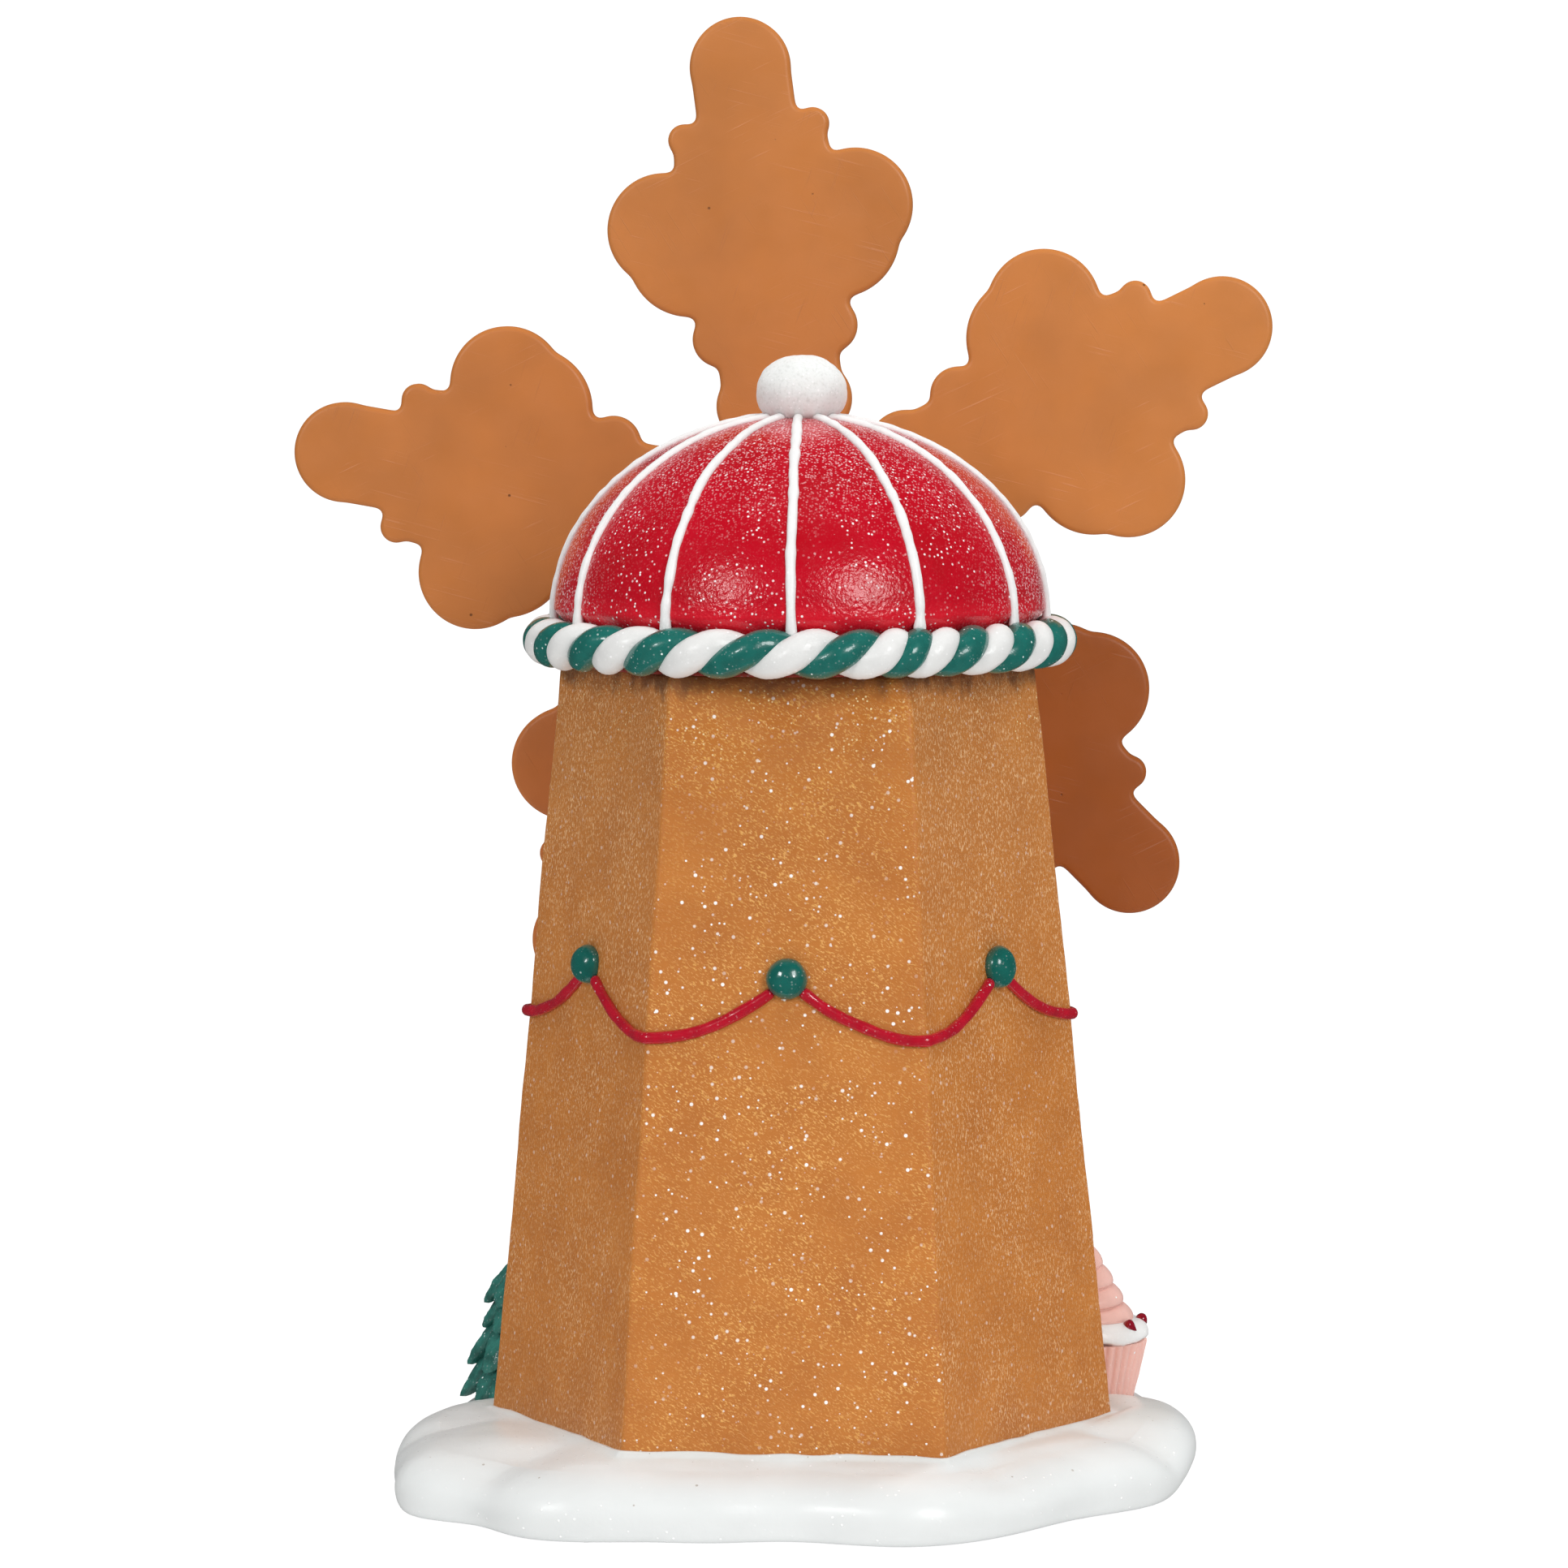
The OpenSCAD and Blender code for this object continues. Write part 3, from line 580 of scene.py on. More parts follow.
def joined(parts):
    """Several closed skins as one set of points and faces."""
    verts, faces, start = [], [], 0
    for points, skin in parts:
        verts.append(points)
        faces += [tuple(start + i for i in face) for face in skin]
        start += len(points)
    return np.concatenate(verts), faces


def wobble(points, size, depth, seed=0):
    """Smooth noise at each point, from about -depth to depth, that changes over that size."""
    shift = Vector((seed * 7.13, seed * 3.71, seed * 5.37))
    flat = np.asarray(points, float).reshape(-1, 3)
    found = [noise.noise(Vector(p) / size + shift) for p in flat]
    return depth * np.array(found).reshape(np.asarray(points).shape[:-1])


def unit(v):
    """Vectors of the same direction and length 1."""
    return v / np.linalg.norm(v, axis=-1, keepdims=True)


def tube(path, radius, out, sides=14, flat=1.0, loop=False):
    """A round bead along a path. out is the direction away from the surface at each point; flat
    squeezes the bead along it. An open bead has round ends."""
    path, out = np.asarray(path, float), unit(np.asarray(out, float))
    radius = np.broadcast_to(radius, len(path)).copy()
    if loop:
        along = np.roll(path, -1, 0) - np.roll(path, 1, 0)
    else:
        along = np.gradient(path, axis=0)
        run = np.concatenate([[0], np.cumsum(np.linalg.norm(np.diff(path, axis=0), axis=1))])
        near = np.minimum(run, run[-1] - run)
        part = np.clip(near / radius, 0, 1)
        radius *= np.maximum(np.sqrt(1 - (1 - part) ** 2), 0.02)
    across = unit(np.cross(unit(along), out))
    out = unit(np.cross(across, unit(along)))
    turn = fan(sides)[None, :, None]
    rim = np.cos(turn) * across[:, None] + np.sin(turn) * out[:, None] * flat
    return loft(path[:, None] + radius[:, None, None] * rim, loop)


def even_path(points, step, loop=False):
    """The same path with points that are about step apart."""
    points = np.asarray(points, float)
    if loop:
        points = np.concatenate([points, points[:1]])
    run = np.concatenate([[0], np.cumsum(np.linalg.norm(np.diff(points, axis=0), axis=1))])
    marks = np.linspace(0, run[-1], max(4, round(run[-1] / step)) + 1)
    even = np.stack([np.interp(marks, run, points[:, k]) for k in range(points.shape[1])], 1)
    return even[:-1] if loop else even


def eased(values, width):
    """A closed row of values, smoothed over that many neighbours."""
    reach = int(3 * width)
    weights = np.exp(-0.5 * (np.arange(-reach, reach + 1) / width) ** 2)
    weights /= weights.sum()
    values = np.asarray(values, float)
    return sum(w * np.roll(values, k, 0) for k, w in zip(range(-reach, reach + 1), weights))


def caster(node):
    """Measures how far a CAD node reaches from the z axis, at an angle and a height."""
    mesh = frame["nodes"][node].data
    tree = BVHTree.FromPolygons([v.co for v in mesh.vertices], [p.vertices for p in mesh.polygons])

    def reach(angle, z):
        out = Vector((math.cos(angle), math.sin(angle), 0))
        return tree.ray_cast(out * FAR + UP * z, -out)[0].xy.length

    return reach


def welded(node):
    """A CAD node's mesh for editing, its doubled points merged."""
    form = bmesh.new()
    form.from_mesh(frame["nodes"][node].data)
    bmesh.ops.remove_doubles(form, verts=form.verts, dist=1e-6)
    return form


def cad_outline(node, toward):
    """The border of a CAD plate's flat side that faces along toward, as an ordered ring."""
    form = welded(node)
    form.normal_update()
    beside = {}
    for edge in form.edges:
        if sum(face.normal.dot(toward) > 0.99 for face in edge.link_faces) == 1:
            a, b = edge.verts
            beside.setdefault(a, []).append(b)
            beside.setdefault(b, []).append(a)
    start = next(iter(beside))
    ring, last, now = [], None, start
    while not ring or now is not start:
        ring.append(tuple(now.co))
        last, now = now, next(v for v in beside[now] if v is not last)
    form.free()
    return np.array(ring)


def softened(name, node, material, slot, body, voxel, passes, grow, seed=0):
    """A CAD relief remade as piped icing: remeshed, smoothed until it is round, a little uneven."""
    piece = finish_piece(name, frame["nodes"][node].data.copy(), material, slot, [node], body)
    remesh = piece.modifiers.new("remesh", "REMESH")
    remesh.mode = "VOXEL"
    remesh.voxel_size = voxel
    smooth = piece.modifiers.new("smooth", "SMOOTH")
    smooth.factor, smooth.iterations = 0.5, passes
    bpy.context.view_layer.update()
    shaped = bpy.data.meshes.new_from_object(piece.evaluated_get(bpy.context.evaluated_depsgraph_get()))
    piece.modifiers.clear()
    verts = np.array([v.co for v in shaped.vertices])
    normals = np.array([v.normal for v in shaped.vertices])
    verts += normals * (grow + wobble(verts, 2.5 * MM, 0.12 * MM, seed))[:, None]
    shaped.vertices.foreach_set("co", verts.ravel())
    dress(shaped, material)
    piece.data = shaped
    return piece


def bevelled(name, node, material, slot, body="windmill", width=0.4 * MM):
    """A CAD piece with its sharp edges broken."""
    form = welded(node)
    bmesh.ops.dissolve_limit(form, angle_limit=0.01, verts=form.verts, edges=form.edges)
    form.normal_update()
    sharp = [e for e in form.edges if len(e.link_faces) == 2 and e.calc_face_angle(0) > 0.6]
    bmesh.ops.bevel(form, geom=sharp, offset=width, segments=3, profile=0.5,
                    affect="EDGES", clamp_overlap=True)
    bmesh.ops.triangulate(form, faces=form.faces)
    mesh = bpy.data.meshes.new(name)
    form.to_mesh(mesh)
    form.free()
    piece = finish_piece(name, mesh, material, slot, [node], body)
    mesh.set_sharp_from_angle(angle=0.7)
    return piece


# =================== tower ===================

tower_low, tower_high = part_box("tower_shell")
tower_reach = caster("tower_shell")
FACE_LOW_Z, FACE_HIGH_Z = 0.020, 0.160
FACE_LOW = tower_reach(math.pi / 2, FACE_LOW_Z)
FACE_HIGH = tower_reach(math.pi / 2, FACE_HIGH_Z)
TAPER = (FACE_LOW - FACE_HIGH) / (FACE_HIGH_Z - FACE_LOW_Z)
CORNER = math.cos(math.pi / SIDES)


def face_out(z):
    """How far the middle of a tower face is from the axis at a height."""
    return FACE_LOW - TAPER * (z - FACE_LOW_Z)


def hexagon(face, rounding, arc_steps=4, side_steps=46):
    """Plan points and outward directions round a six-sided ring with rounded corners."""
    points, outs = [], []
    step = TURN / SIDES
    for at in np.arange(SIDES) * step:
        centre, following = [
            (face - rounding) / CORNER * np.array([math.cos(a), math.sin(a)]) for a in (at, at + step)]
        turn = at + np.linspace(-0.5, 0.5, arc_steps + 1) * step
        points += [centre + rounding * out for out in circle(turn)]
        outs += list(circle(turn))
        out = outs[-1]
        for s in range(1, side_steps):
            points.append(centre + (following - centre) * s / side_steps + rounding * out)
            outs.append(out)
    return np.array(points), np.array(outs)


# Sideways shift of each tower edge at the top, in mm; the edge at +X leans out a little
LEAN = (1.0, -1.0, -0.3, 0.2, 0.1, 0.5)


def leaned(points):
    """Moves points on the tower sideways, as it leans a little towards its top."""
    points = np.array(points, float)
    turns = np.mod(np.arctan2(points[..., 1], points[..., 0]), TURN)
    shift = np.interp(turns, np.arange(SIDES + 1) * TURN / SIDES, [*LEAN, LEAN[0]]) * MM
    high = np.clip((points[..., 2] - 0.045) / (tower_high.z - 0.045), 0, 1)
    points[..., 0] += shift * high
    return points


def add_tower(material):
    """The hollow biscuit tower: uneven outside, smooth inside, and reaching up behind the rope."""
    wall, rounding, lip, proud = 4 * MM, 1.3 * MM, 0.9 * MM, 0.12 * MM
    top_z = tower_high.z + 1.4 * MM
    rings = []
    for z in np.linspace(tower_low.z, top_z - lip, 139):
        plan, outs = hexagon(face_out(z), rounding)
        ring = ring_at(plan, z)
        cast = wobble(ring, 26 * MM, 0.30 * MM, 1) + wobble(ring, 5 * MM, 0.10 * MM, 2)
        ring[:, :2] += outs * (cast + proud)[:, None]
        rings.append(ring)
    for t in (0.5, 1.0):
        plan, _ = hexagon(face_out(top_z) - lip * t * t, rounding)
        rings.append(ring_at(plan, top_z - lip * (1 - t)))
    for z in np.linspace(top_z, tower_low.z, 12):
        plan, _ = hexagon(face_out(z) - wall, rounding * 0.5)
        rings.append(ring_at(plan, z))
    verts, faces = loft(rings, loop=True)
    add_piece("tower_biscuit", leaned(verts), faces, material, "gingerbread_glitter", ["tower_shell"])


def on_face(angle, z):
    """Frame on a tower face: x runs across it, y up it and z out of it."""
    out = Vector((math.cos(angle), math.sin(angle), TAPER)).normalized()
    across = Vector((-math.sin(angle), math.cos(angle), 0))
    up = out.cross(across)
    place = Matrix((across, up, out)).transposed().to_4x4()
    place.translation = (face_out(z) * math.cos(angle), face_out(z) * math.sin(angle), z)
    return place


# =================== snow ===================

CROWN_Z = 15.2 * MM
# The snow's side from the underside, round the bulge and up: inset from the rim and height, in mm
SIDE = ((9, 0.9), (5, 0.9), (3, 0.2), (1.4, 0.8), (0.4, 2.4), (0, 4.4), (0.1, 6.2), (0.8, 8.1),
        (2.1, 9.8), (4, 11.2), (6.4, 12.3), (8.5, 12.9))
# The same for the fuller lobe at -X, and where that lobe is, in degrees
FULL_SIDE = ((9, 0.9), (6, 0.9), (4.2, 0.3), (2.4, 1.2), (0.8, 3.4), (-0.4, 6.0), (-0.6, 8.4), (-0.1, 10.6),
             (1.3, 12.6), (3.2, 14.0), (5.6, 14.9), (8.0, 15.4))
FULL_AT, FULL_WIDTH = 184, 17
# How far the snow line sinks at each tower edge, in mm
SINK = (1.0, 0.0, 0.5, 1.4, 0.3, 0.2)
# Creases between the lobes: angle, depth in mm and half width, angles in degrees from +X
CREASES = ((11, 2.2, 5), (42, 3.2, 7), (129, 2.6, 8), (166, 3.6, 4), (200, 2.0, 7), (234, 2.4, 8),
           (266, 1.6, 9), (299, 2.6, 8), (342, 2.0, 6))


def cut_corners(points, times):
    """A path with its corners cut that many times, its two ends kept."""
    points = np.array(points, float)
    for _ in range(times):
        a, b = points[:-1], points[1:]
        inner = np.stack([0.75 * a + 0.25 * b, 0.25 * a + 0.75 * b], 1).reshape(-1, points.shape[1])
        points = np.concatenate([points[:1], inner, points[-1:]])
    return points


def add_snow(material):
    """Lobes with creases between them, rising to a thin ledge against the tower's foot."""
    angles = fan(360)
    around = circle(angles)
    reach = caster("snow_base")
    rim = eased([reach(a, 5 * MM) for a in angles], 3)
    crease = np.zeros(len(angles))
    for at, depth, width in CREASES:
        apart = np.abs(np.mod(np.degrees(angles) - at + 180, 360) - 180) / width
        crease = np.maximum(crease, depth * MM * np.exp(-apart ** 1.5))
    face_turn = np.mod(angles, TURN / SIDES) - math.pi / SIDES
    foot = face_out(CROWN_Z) / np.cos(face_turn) + 0.65 * MM
    rings = []

    def add_ring(r, z):
        rings.append(ring_at(around * r[:, None], z))

    full = np.exp(-((np.degrees(angles) - FULL_AT) / FULL_WIDTH) ** 4)
    sink = np.interp(angles, np.arange(SIDES + 1) * TURN / SIDES, [*SINK, SINK[0]]) * MM
    room = np.clip((rim - foot - 0.5 * crease - 0.8 * MM) / (SIDE[-1][0] * MM), 0.3, 1)
    for plain, fuller in zip(cut_corners(SIDE, 2) * MM, cut_corners(FULL_SIDE, 2) * MM):
        inset, z = plain[:, None] + (fuller - plain)[:, None] * full
        if plain[1] > 5 * MM:
            inset = inset * room
        raised = np.clip((z - 2 * MM) / (9 * MM), 0, 1)
        add_ring(rim - inset - 0.5 * crease * raised, z - 0.5 * crease * raised ** 2)
    edge, edge_z = rim - inset - 0.5 * crease, z
    wide = np.clip((edge - foot) / (20 * MM), 0, 1)
    for f in np.linspace(0, 1, 26)[1:]:
        radius = edge + (foot - edge) * f
        arch = math.sin(math.pi * f)
        rise = (CROWN_Z - edge_z) * (0.3 * f + 0.7 * f ** 2.6)
        puff = 1.1 * MM * arch ** 1.2 * wide
        ring = ring_at(around * radius[:, None], 0)
        soft = wobble(ring, 15 * MM, 0.5 * MM, 3) * arch
        lip = 0.5 * MM * max(0, (f - 0.8) / 0.2) ** 2 * (1 + wobble(ring, 9 * MM, 1.0, 4))
        dent = crease * (0.5 + 0.35 * arch) * (1 - f) ** 0.7
        add_ring(radius, edge_z + rise + puff - dent + soft + lip - sink * f ** 2)
    add_ring(foot - 0.9 * MM, rings[-1][:, 2] + 0.1 * MM)
    add_ring(foot - 1.7 * MM, tower_low.z)
    skin, faces = loft(rings)
    top = skin[:, 2] > 3 * MM
    skin[:, 2] += np.where(top, wobble(skin, 6 * MM, 0.12 * MM, 5), 0)
    seat(skin, "cupcake_wrapper", 8.2 * MM, 1.8 * MM)
    add_piece("snow_mound", skin, faces, material, "snow", ["snow_base"])


def seat(skin, node, radius, fade):
    """Presses a level seat into the snow under a CAD node."""
    apart = np.linalg.norm(skin[:, :2] - middle_of(node), axis=1)
    blend = np.clip((apart - radius) / fade, 0, 1)
    blend = blend * blend * (3 - 2 * blend)
    low_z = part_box(node)[0].z
    above = (skin[:, 2] > low_z) & (apart < radius + fade)
    skin[above, 2] = low_z + (skin[above, 2] - low_z) * blend[above]


# =================== dome, ribs, bobble and rope ===================

dome_low, dome_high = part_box("dome_cap")
SPRING_Z = 174.3 * MM
DOME_R = (dome_high.x - dome_low.x) / 2
DOME_H = dome_high.z - SPRING_Z
RIBS = 12
HUB = Vector(frame["joints"][0]["pos_m"])


def dome_point(turn, rise, lift=0.0):
    """A point on the dome at an angle round it and an angle up it, and the way out from there."""
    around = np.array([math.cos(turn), math.sin(turn), 0])
    out = unit(around * DOME_H * math.cos(rise) + np.array([0, 0, DOME_R * math.sin(rise)]))
    spot = around * DOME_R * math.cos(rise) + np.array([0, 0, SPRING_Z + DOME_H * math.sin(rise)])
    return spot + out * lift, out


def add_dome(material):
    """The hollow dome with its flange and rope groove, and the boss in front for the axle's bush."""
    plan = circle(fan(288))
    flange_r, groove_r, wall = 44.6 * MM, 44.2 * MM, 4 * MM
    inner_r, flange_z = flange_r - 10 * MM, dome_low.z + 1 * MM
    foot = ((inner_r, 0), (flange_r - 0.4 * MM, 0), (flange_r, 0.3 * MM), (flange_r, 0.8 * MM),
            (flange_r - 0.4 * MM, 1.2 * MM), (groove_r, 2.2 * MM), (groove_r, 7.6 * MM),
            (groove_r + 2.6 * MM, 8.6 * MM))
    rings = [ring_at(plan * r, flange_z + z) for r, z in foot]
    for rise in rises(0.02, 0.985, 84):
        ring = ring_at(plan * DOME_R * math.cos(rise), SPRING_Z + DOME_H * math.sin(rise))
        ring *= 1 + (wobble(ring, 16 * MM, 0.16 * MM, 6) / DOME_R)[:, None] * [1, 1, 0]
        rings.append(ring)
    inside = len(rings)
    for rise in rises(0.97, 0.05, 20):
        r, z = (DOME_R - wall) * math.cos(rise), (DOME_H - wall) * math.sin(rise)
        rings.append(ring_at(plan * r, SPRING_Z + z))
    rings.append(ring_at(plan * (groove_r - wall), SPRING_Z - 3 * MM))
    rings.append(ring_at(plan * inner_r, dome_low.z + 4 * MM))
    skin, faces = loft(rings, loop=True)
    outer_top, inner_top = [range(k * len(plan), (k + 1) * len(plan)) for k in (inside - 1, inside)]
    faces = [f for f in faces if f[0] not in outer_top]
    faces += [tuple(outer_top), tuple(reversed(inner_top))]
    skin, faces = joined([(skin, faces), axle_boss()])
    add_piece("dome_glaze", skin, faces, material, "dome_red", ["dome_cap"])


def axle_boss():
    """A rounded collar through the dome's front wall, bored for the bush."""
    boss_r, bore_r, back_y = 7.5 * MM, 4.05 * MM, -38 * MM
    front_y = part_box("axle_bush")[0].y + 6.1 * MM
    shape = ((bore_r, back_y), (boss_r + 2.2 * MM, back_y), (boss_r + 1.2 * MM, -44.5 * MM),
             (boss_r + 0.2 * MM, -46.3 * MM), (boss_r, front_y + 0.9 * MM),
             (boss_r - 0.3 * MM, front_y + 0.3 * MM), (boss_r - 0.9 * MM, front_y), (bore_r, front_y))
    return loft([upright(fan(64)) * r + [HUB.x, y, HUB.z] for r, y in shape], loop=True)


def rib_path(turn, low, high, seed):
    """Points, outward directions and angles of a slightly wavering line up the dome."""
    climb = np.linspace(low, high, int(abs(high - low) * 45 * MM / (0.4 * MM)) + 8)
    spots = np.array([dome_point(turn, rise, 0.15 * MM)[0] for rise in climb])
    outs = np.array([dome_point(turn, rise)[1] for rise in climb])
    side = np.array([-math.sin(turn), math.cos(turn), 0])
    spots += side * wobble(spots, 9 * MM, 0.35 * MM, seed)[:, None]
    return spots, outs, climb


def add_ribs(material):
    """White piped lines from the rope up to the bobble, of slightly uneven width."""
    foot, high = -0.05, math.acos(6.2 * MM / DOME_R)
    for i in range(RIBS):
        x, y = middle_of(f"dome_rib_{i + 1}")
        turn = math.atan2(y, x)
        spans = [(foot, high)]
        if i == RIBS // 2:
            gap = 9.2 * MM
            spans = [(foot, math.asin((HUB.z - gap - SPRING_Z) / DOME_H)),
                     (math.asin((HUB.z + gap - SPRING_Z) / DOME_H), high)]
        parts = []
        for a, b in spans:
            spots, outs, climb = rib_path(turn, a, b, 10 + i)
            radius = 0.98 * MM + wobble(spots, 2.6 * MM, 0.22 * MM, 30 + i)
            radius += 0.25 * MM * np.exp(-((climb - foot) / 0.06) ** 2)
            parts.append(tube(spots, radius, outs, flat=0.85))
        add_piece(f"rib_{i + 1}", *joined(parts), material, "icing_white", [f"dome_rib_{i + 1}"])


def add_bobble(material):
    """A slightly flattened, lumpy ball that sits a little off the dome's middle."""
    low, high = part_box("pompom")
    radius, half = (high.x - low.x) / 2 + 0.2 * MM, 7.3 * MM
    middle = high.z - half - 0.25 * MM
    plan = circle(fan(112))
    rings = []
    for rise in rises(-0.66, 0.985, 76):
        ring = ring_at(plan * radius * math.cos(rise) ** 0.92, middle + half * math.sin(rise))
        out = unit(ring - [0, 0, middle])
        lump = wobble(ring, 5 * MM, 0.35 * MM, 40) + wobble(ring, 1.3 * MM, 0.12 * MM, 41)
        rings.append(ring + out * lump[:, None] - [0.4 * MM, 0, 0])
    add_piece("bobble", *loft(rings), material, "bobble_white", ["pompom"])


# Where the white strand crests on the rope's back, in degrees from +X; the rest is even
CRESTS = (32, 51, 70.5, 92, 112, 123.5, 139, 156)


def add_rope(paints):
    """Two fat candy strands twisted round the dome's foot, pressed against each other."""
    low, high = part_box("rope_white")
    middle, half = (low.z + high.z) / 2, (high.z - low.z) / 2
    ring_r = high.x - half
    twists, sides = 20, 22
    offset, fat = 1.6 * MM, 3.2 * MM
    turns = fan(1200)
    around = ring_at(circle(turns), 0)
    marks = [math.radians(c) for c in CRESTS]
    marks += [marks[0] + TURN]
    counts = list(range(len(CRESTS))) + [twists]
    place = np.interp(np.mod(turns - marks[0], TURN) + marks[0], marks, counts)
    place = np.where(turns < marks[0], place - twists, place)
    even = twists * turns / TURN
    wind_up = TURN * (even + eased(place - even, 6))
    for k, (name, paint, slot) in enumerate(paints):
        wind = math.pi * k + wind_up
        rope = ring_r + offset * np.cos(wind)
        path = ring_at(circle(turns) * rope[:, None], middle + offset * np.sin(wind))
        spot = around * ring_r
        fatness = fat + wobble(spot + [0, 0, k * 0.1], 9 * MM, 0.22 * MM, 50 + k)
        verts, faces = tube(path, fatness, path - spot - [0, 0, middle], sides, loop=True)
        out = unit(verts - np.repeat(path, sides, 0))
        verts = verts + out * wobble(verts, 2.2 * MM, 0.08 * MM, 52 + k)[:, None]
        add_piece(f"rope_strand_{name}", verts, faces, paint, slot, [f"rope_{name}"])


# =================== garland ===================


def add_drops(material):
    """A glossy green bead on each tower face, each a little taller or shorter than the next."""
    for i in range(SIDES):
        low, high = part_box(f"garland_drop_{i + 1}")
        place = on_face(math.atan2(low.y + high.y, low.x + high.x), (low.z + high.z) / 2)
        plan = circle(fan(48)) * [1, 1.0 + 0.04 * math.sin(i * 2.1)]
        rings = []
        for rise in rises(-0.3, 0.97, 22):
            ring = ring_at(plan * 4.0 * MM * math.cos(rise), (0.9 + 3.0 * math.sin(rise)) * MM)
            ring[:, :2] *= 1 + wobble(ring + [0, 0, i], 3 * MM, 0.05, 60)[:, None]
            rings.append(ring)
        verts, faces = loft(rings)
        verts = leaned([place @ Vector(v) for v in verts])
        add_piece(f"drop_{i + 1}", verts, faces, material, "garland_green", [f"garland_drop_{i + 1}"])


def swag_path():
    """Points and outward directions of a line that droops round the tower edge at +X."""
    drop_low, drop_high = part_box("garland_drop_1")
    high_z = (drop_low.z + drop_high.z) / 2
    low_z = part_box("garland_swag_1")[0].z + 1.15 * MM
    half_face = face_out(high_z) * math.tan(math.pi / SIDES)
    reach = half_face - 2.6 * MM
    path, outs = [], []
    for d in np.linspace(-reach, reach, 150):
        z = low_z + (high_z - low_z) * (abs(d) / half_face) ** 2
        lean = np.clip(d / (1.4 * MM), -1, 1) * math.pi / SIDES
        side = math.copysign(math.pi / SIDES, d)
        out = np.array([math.cos(lean), math.sin(lean)])
        along = np.array([-math.sin(side), math.cos(side)]) * d
        corner = np.array([face_out(z) / CORNER - 0.15 * MM, 0])
        path.append([*(corner + along + out * 0.72 * MM), z])
        outs.append([*out, TAPER])
    return np.array(path), np.array(outs)


def add_swags(material):
    """A red piped bead that droops from drop to drop round each tower edge."""
    plain, outs = swag_path()
    for i in range(SIDES):
        turn = np.array(Matrix.Rotation(i * TURN / SIDES, 3, "Z")).T
        path = even_path(leaned(plain @ turn), 0.35 * MM)
        old, new = np.linspace(0, 1, len(outs)), np.linspace(0, 1, len(path))
        lean = np.stack([np.interp(new, old, outs[:, k]) for k in range(3)], 1) @ turn
        for k in (0, 2):
            path[1:-1, k] = (path[:-2, k] + 2 * path[1:-1, k] + path[2:, k]) / 4
        path[:, 2] += wobble(path, 8 * MM, 0.3 * MM, 70 + i)
        radius = 1.16 * MM + wobble(path, 3 * MM, 0.13 * MM, 80 + i)
        skin = tube(path, radius, lean, 16, flat=0.92)
        add_piece(f"swag_{i + 1}", *skin, material, "garland_red", [f"garland_swag_{i + 1}"])


# =================== rotor ===================


def plate(outline, back_y, front_y, edge, seed):
    """A flat cast biscuit: the outline ring with rounded edges and gently uneven sides."""
    flat = outline[:, [0, 2]]
    count = len(flat)
    along = np.roll(flat, -1, 0) - np.roll(flat, 1, 0)
    out = unit(np.column_stack([along[:, 1], -along[:, 0]]))
    area = np.sum(flat[:, 0] * np.roll(flat[:, 1], -1) - flat[:, 1] * np.roll(flat[:, 0], -1))
    out *= math.copysign(1, area)
    bend = [(edge * (1 - math.sin(t)), edge * (1 - math.cos(t))) for t in rises(0, 1, 6)]
    shape = [(inset, back_y - depth) for inset, depth in bend]
    shape += [(inset, front_y + depth) for inset, depth in reversed(bend)]
    plans = [(flat - out * inset, y) for inset, y in shape]
    skin, faces = loft([np.column_stack([plan[:, 0], np.full(count, y), plan[:, 1]]) for plan, y in plans])
    faces = faces[:-2]
    border = plans[0][0]
    inside = [Vector(p) for p in np.concatenate([border, inner_points(border, 1.7 * MM)])]
    points, _, tris, origin, _, _ = delaunay_2d_cdt(inside, [], [list(range(count))], 1, 1e-7)
    extra = []
    for y, base, flip in ((back_y, 0, False), (front_y, len(skin) - count, True)):
        index = []
        for point, source in zip(points, origin):
            if source and source[0] < count:
                index.append(base + source[0])
            else:
                index.append(len(skin) + len(extra))
                extra.append((point.x, y, point.y))
        faces += [tuple(index[v] for v in (reversed(t) if flip else t)) for t in tris]
    skin = np.concatenate([skin, extra])
    skin[:, 1] += wobble(skin, 14 * MM, 0.16 * MM, seed) + wobble(skin, 3.5 * MM, 0.03 * MM, seed + 1)
    return skin, faces


def inner_points(border, pitch):
    """A triangular grid of plan points inside a ring, clear of it."""
    low, high = border.min(0), border.max(0)
    found = []
    for row, v in enumerate(np.arange(low[1], high[1], pitch * 0.866)):
        found += [(u, v) for u in np.arange(low[0] + (row % 2) * pitch / 2, high[0], pitch)]
    found = np.array(found)
    inside = np.zeros(len(found), bool)
    for (x0, z0), (x1, z1) in zip(border, np.roll(border, -1, 0)):
        cross = (z0 > found[:, 1]) != (z1 > found[:, 1])
        if cross.any():
            x = x0 + (found[cross, 1] - z0) * (x1 - x0) / (z1 - z0)
            inside[cross] ^= found[cross, 0] < x
    gap = np.array([np.min(np.hypot(*(border - p).T)) for p in found])
    return found[inside & (gap > pitch * 0.55)]


def add_blades(paints, icing):
    """Five lobed biscuit blades, each with a piped line of icing on its front."""
    for i, paint in enumerate(paints, 1):
        low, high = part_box(f"blade_{i}")
        outline = eased(even_path(cad_outline(f"blade_{i}", BACK), 0.55 * MM, loop=True), 1.3)
        skin = plate(outline, high.y, low.y, 1.1 * MM, 100 + i * 3)
        add_piece(f"blade_biscuit_{i}", *skin, paint, "gingerbread_plain", [f"blade_{i}"], "rotor")
        softened(f"icing_line_{i}", f"blade_icing_{i}", icing, "icing_white", "rotor",
                 0.4 * MM, 6, 0.12 * MM, i)


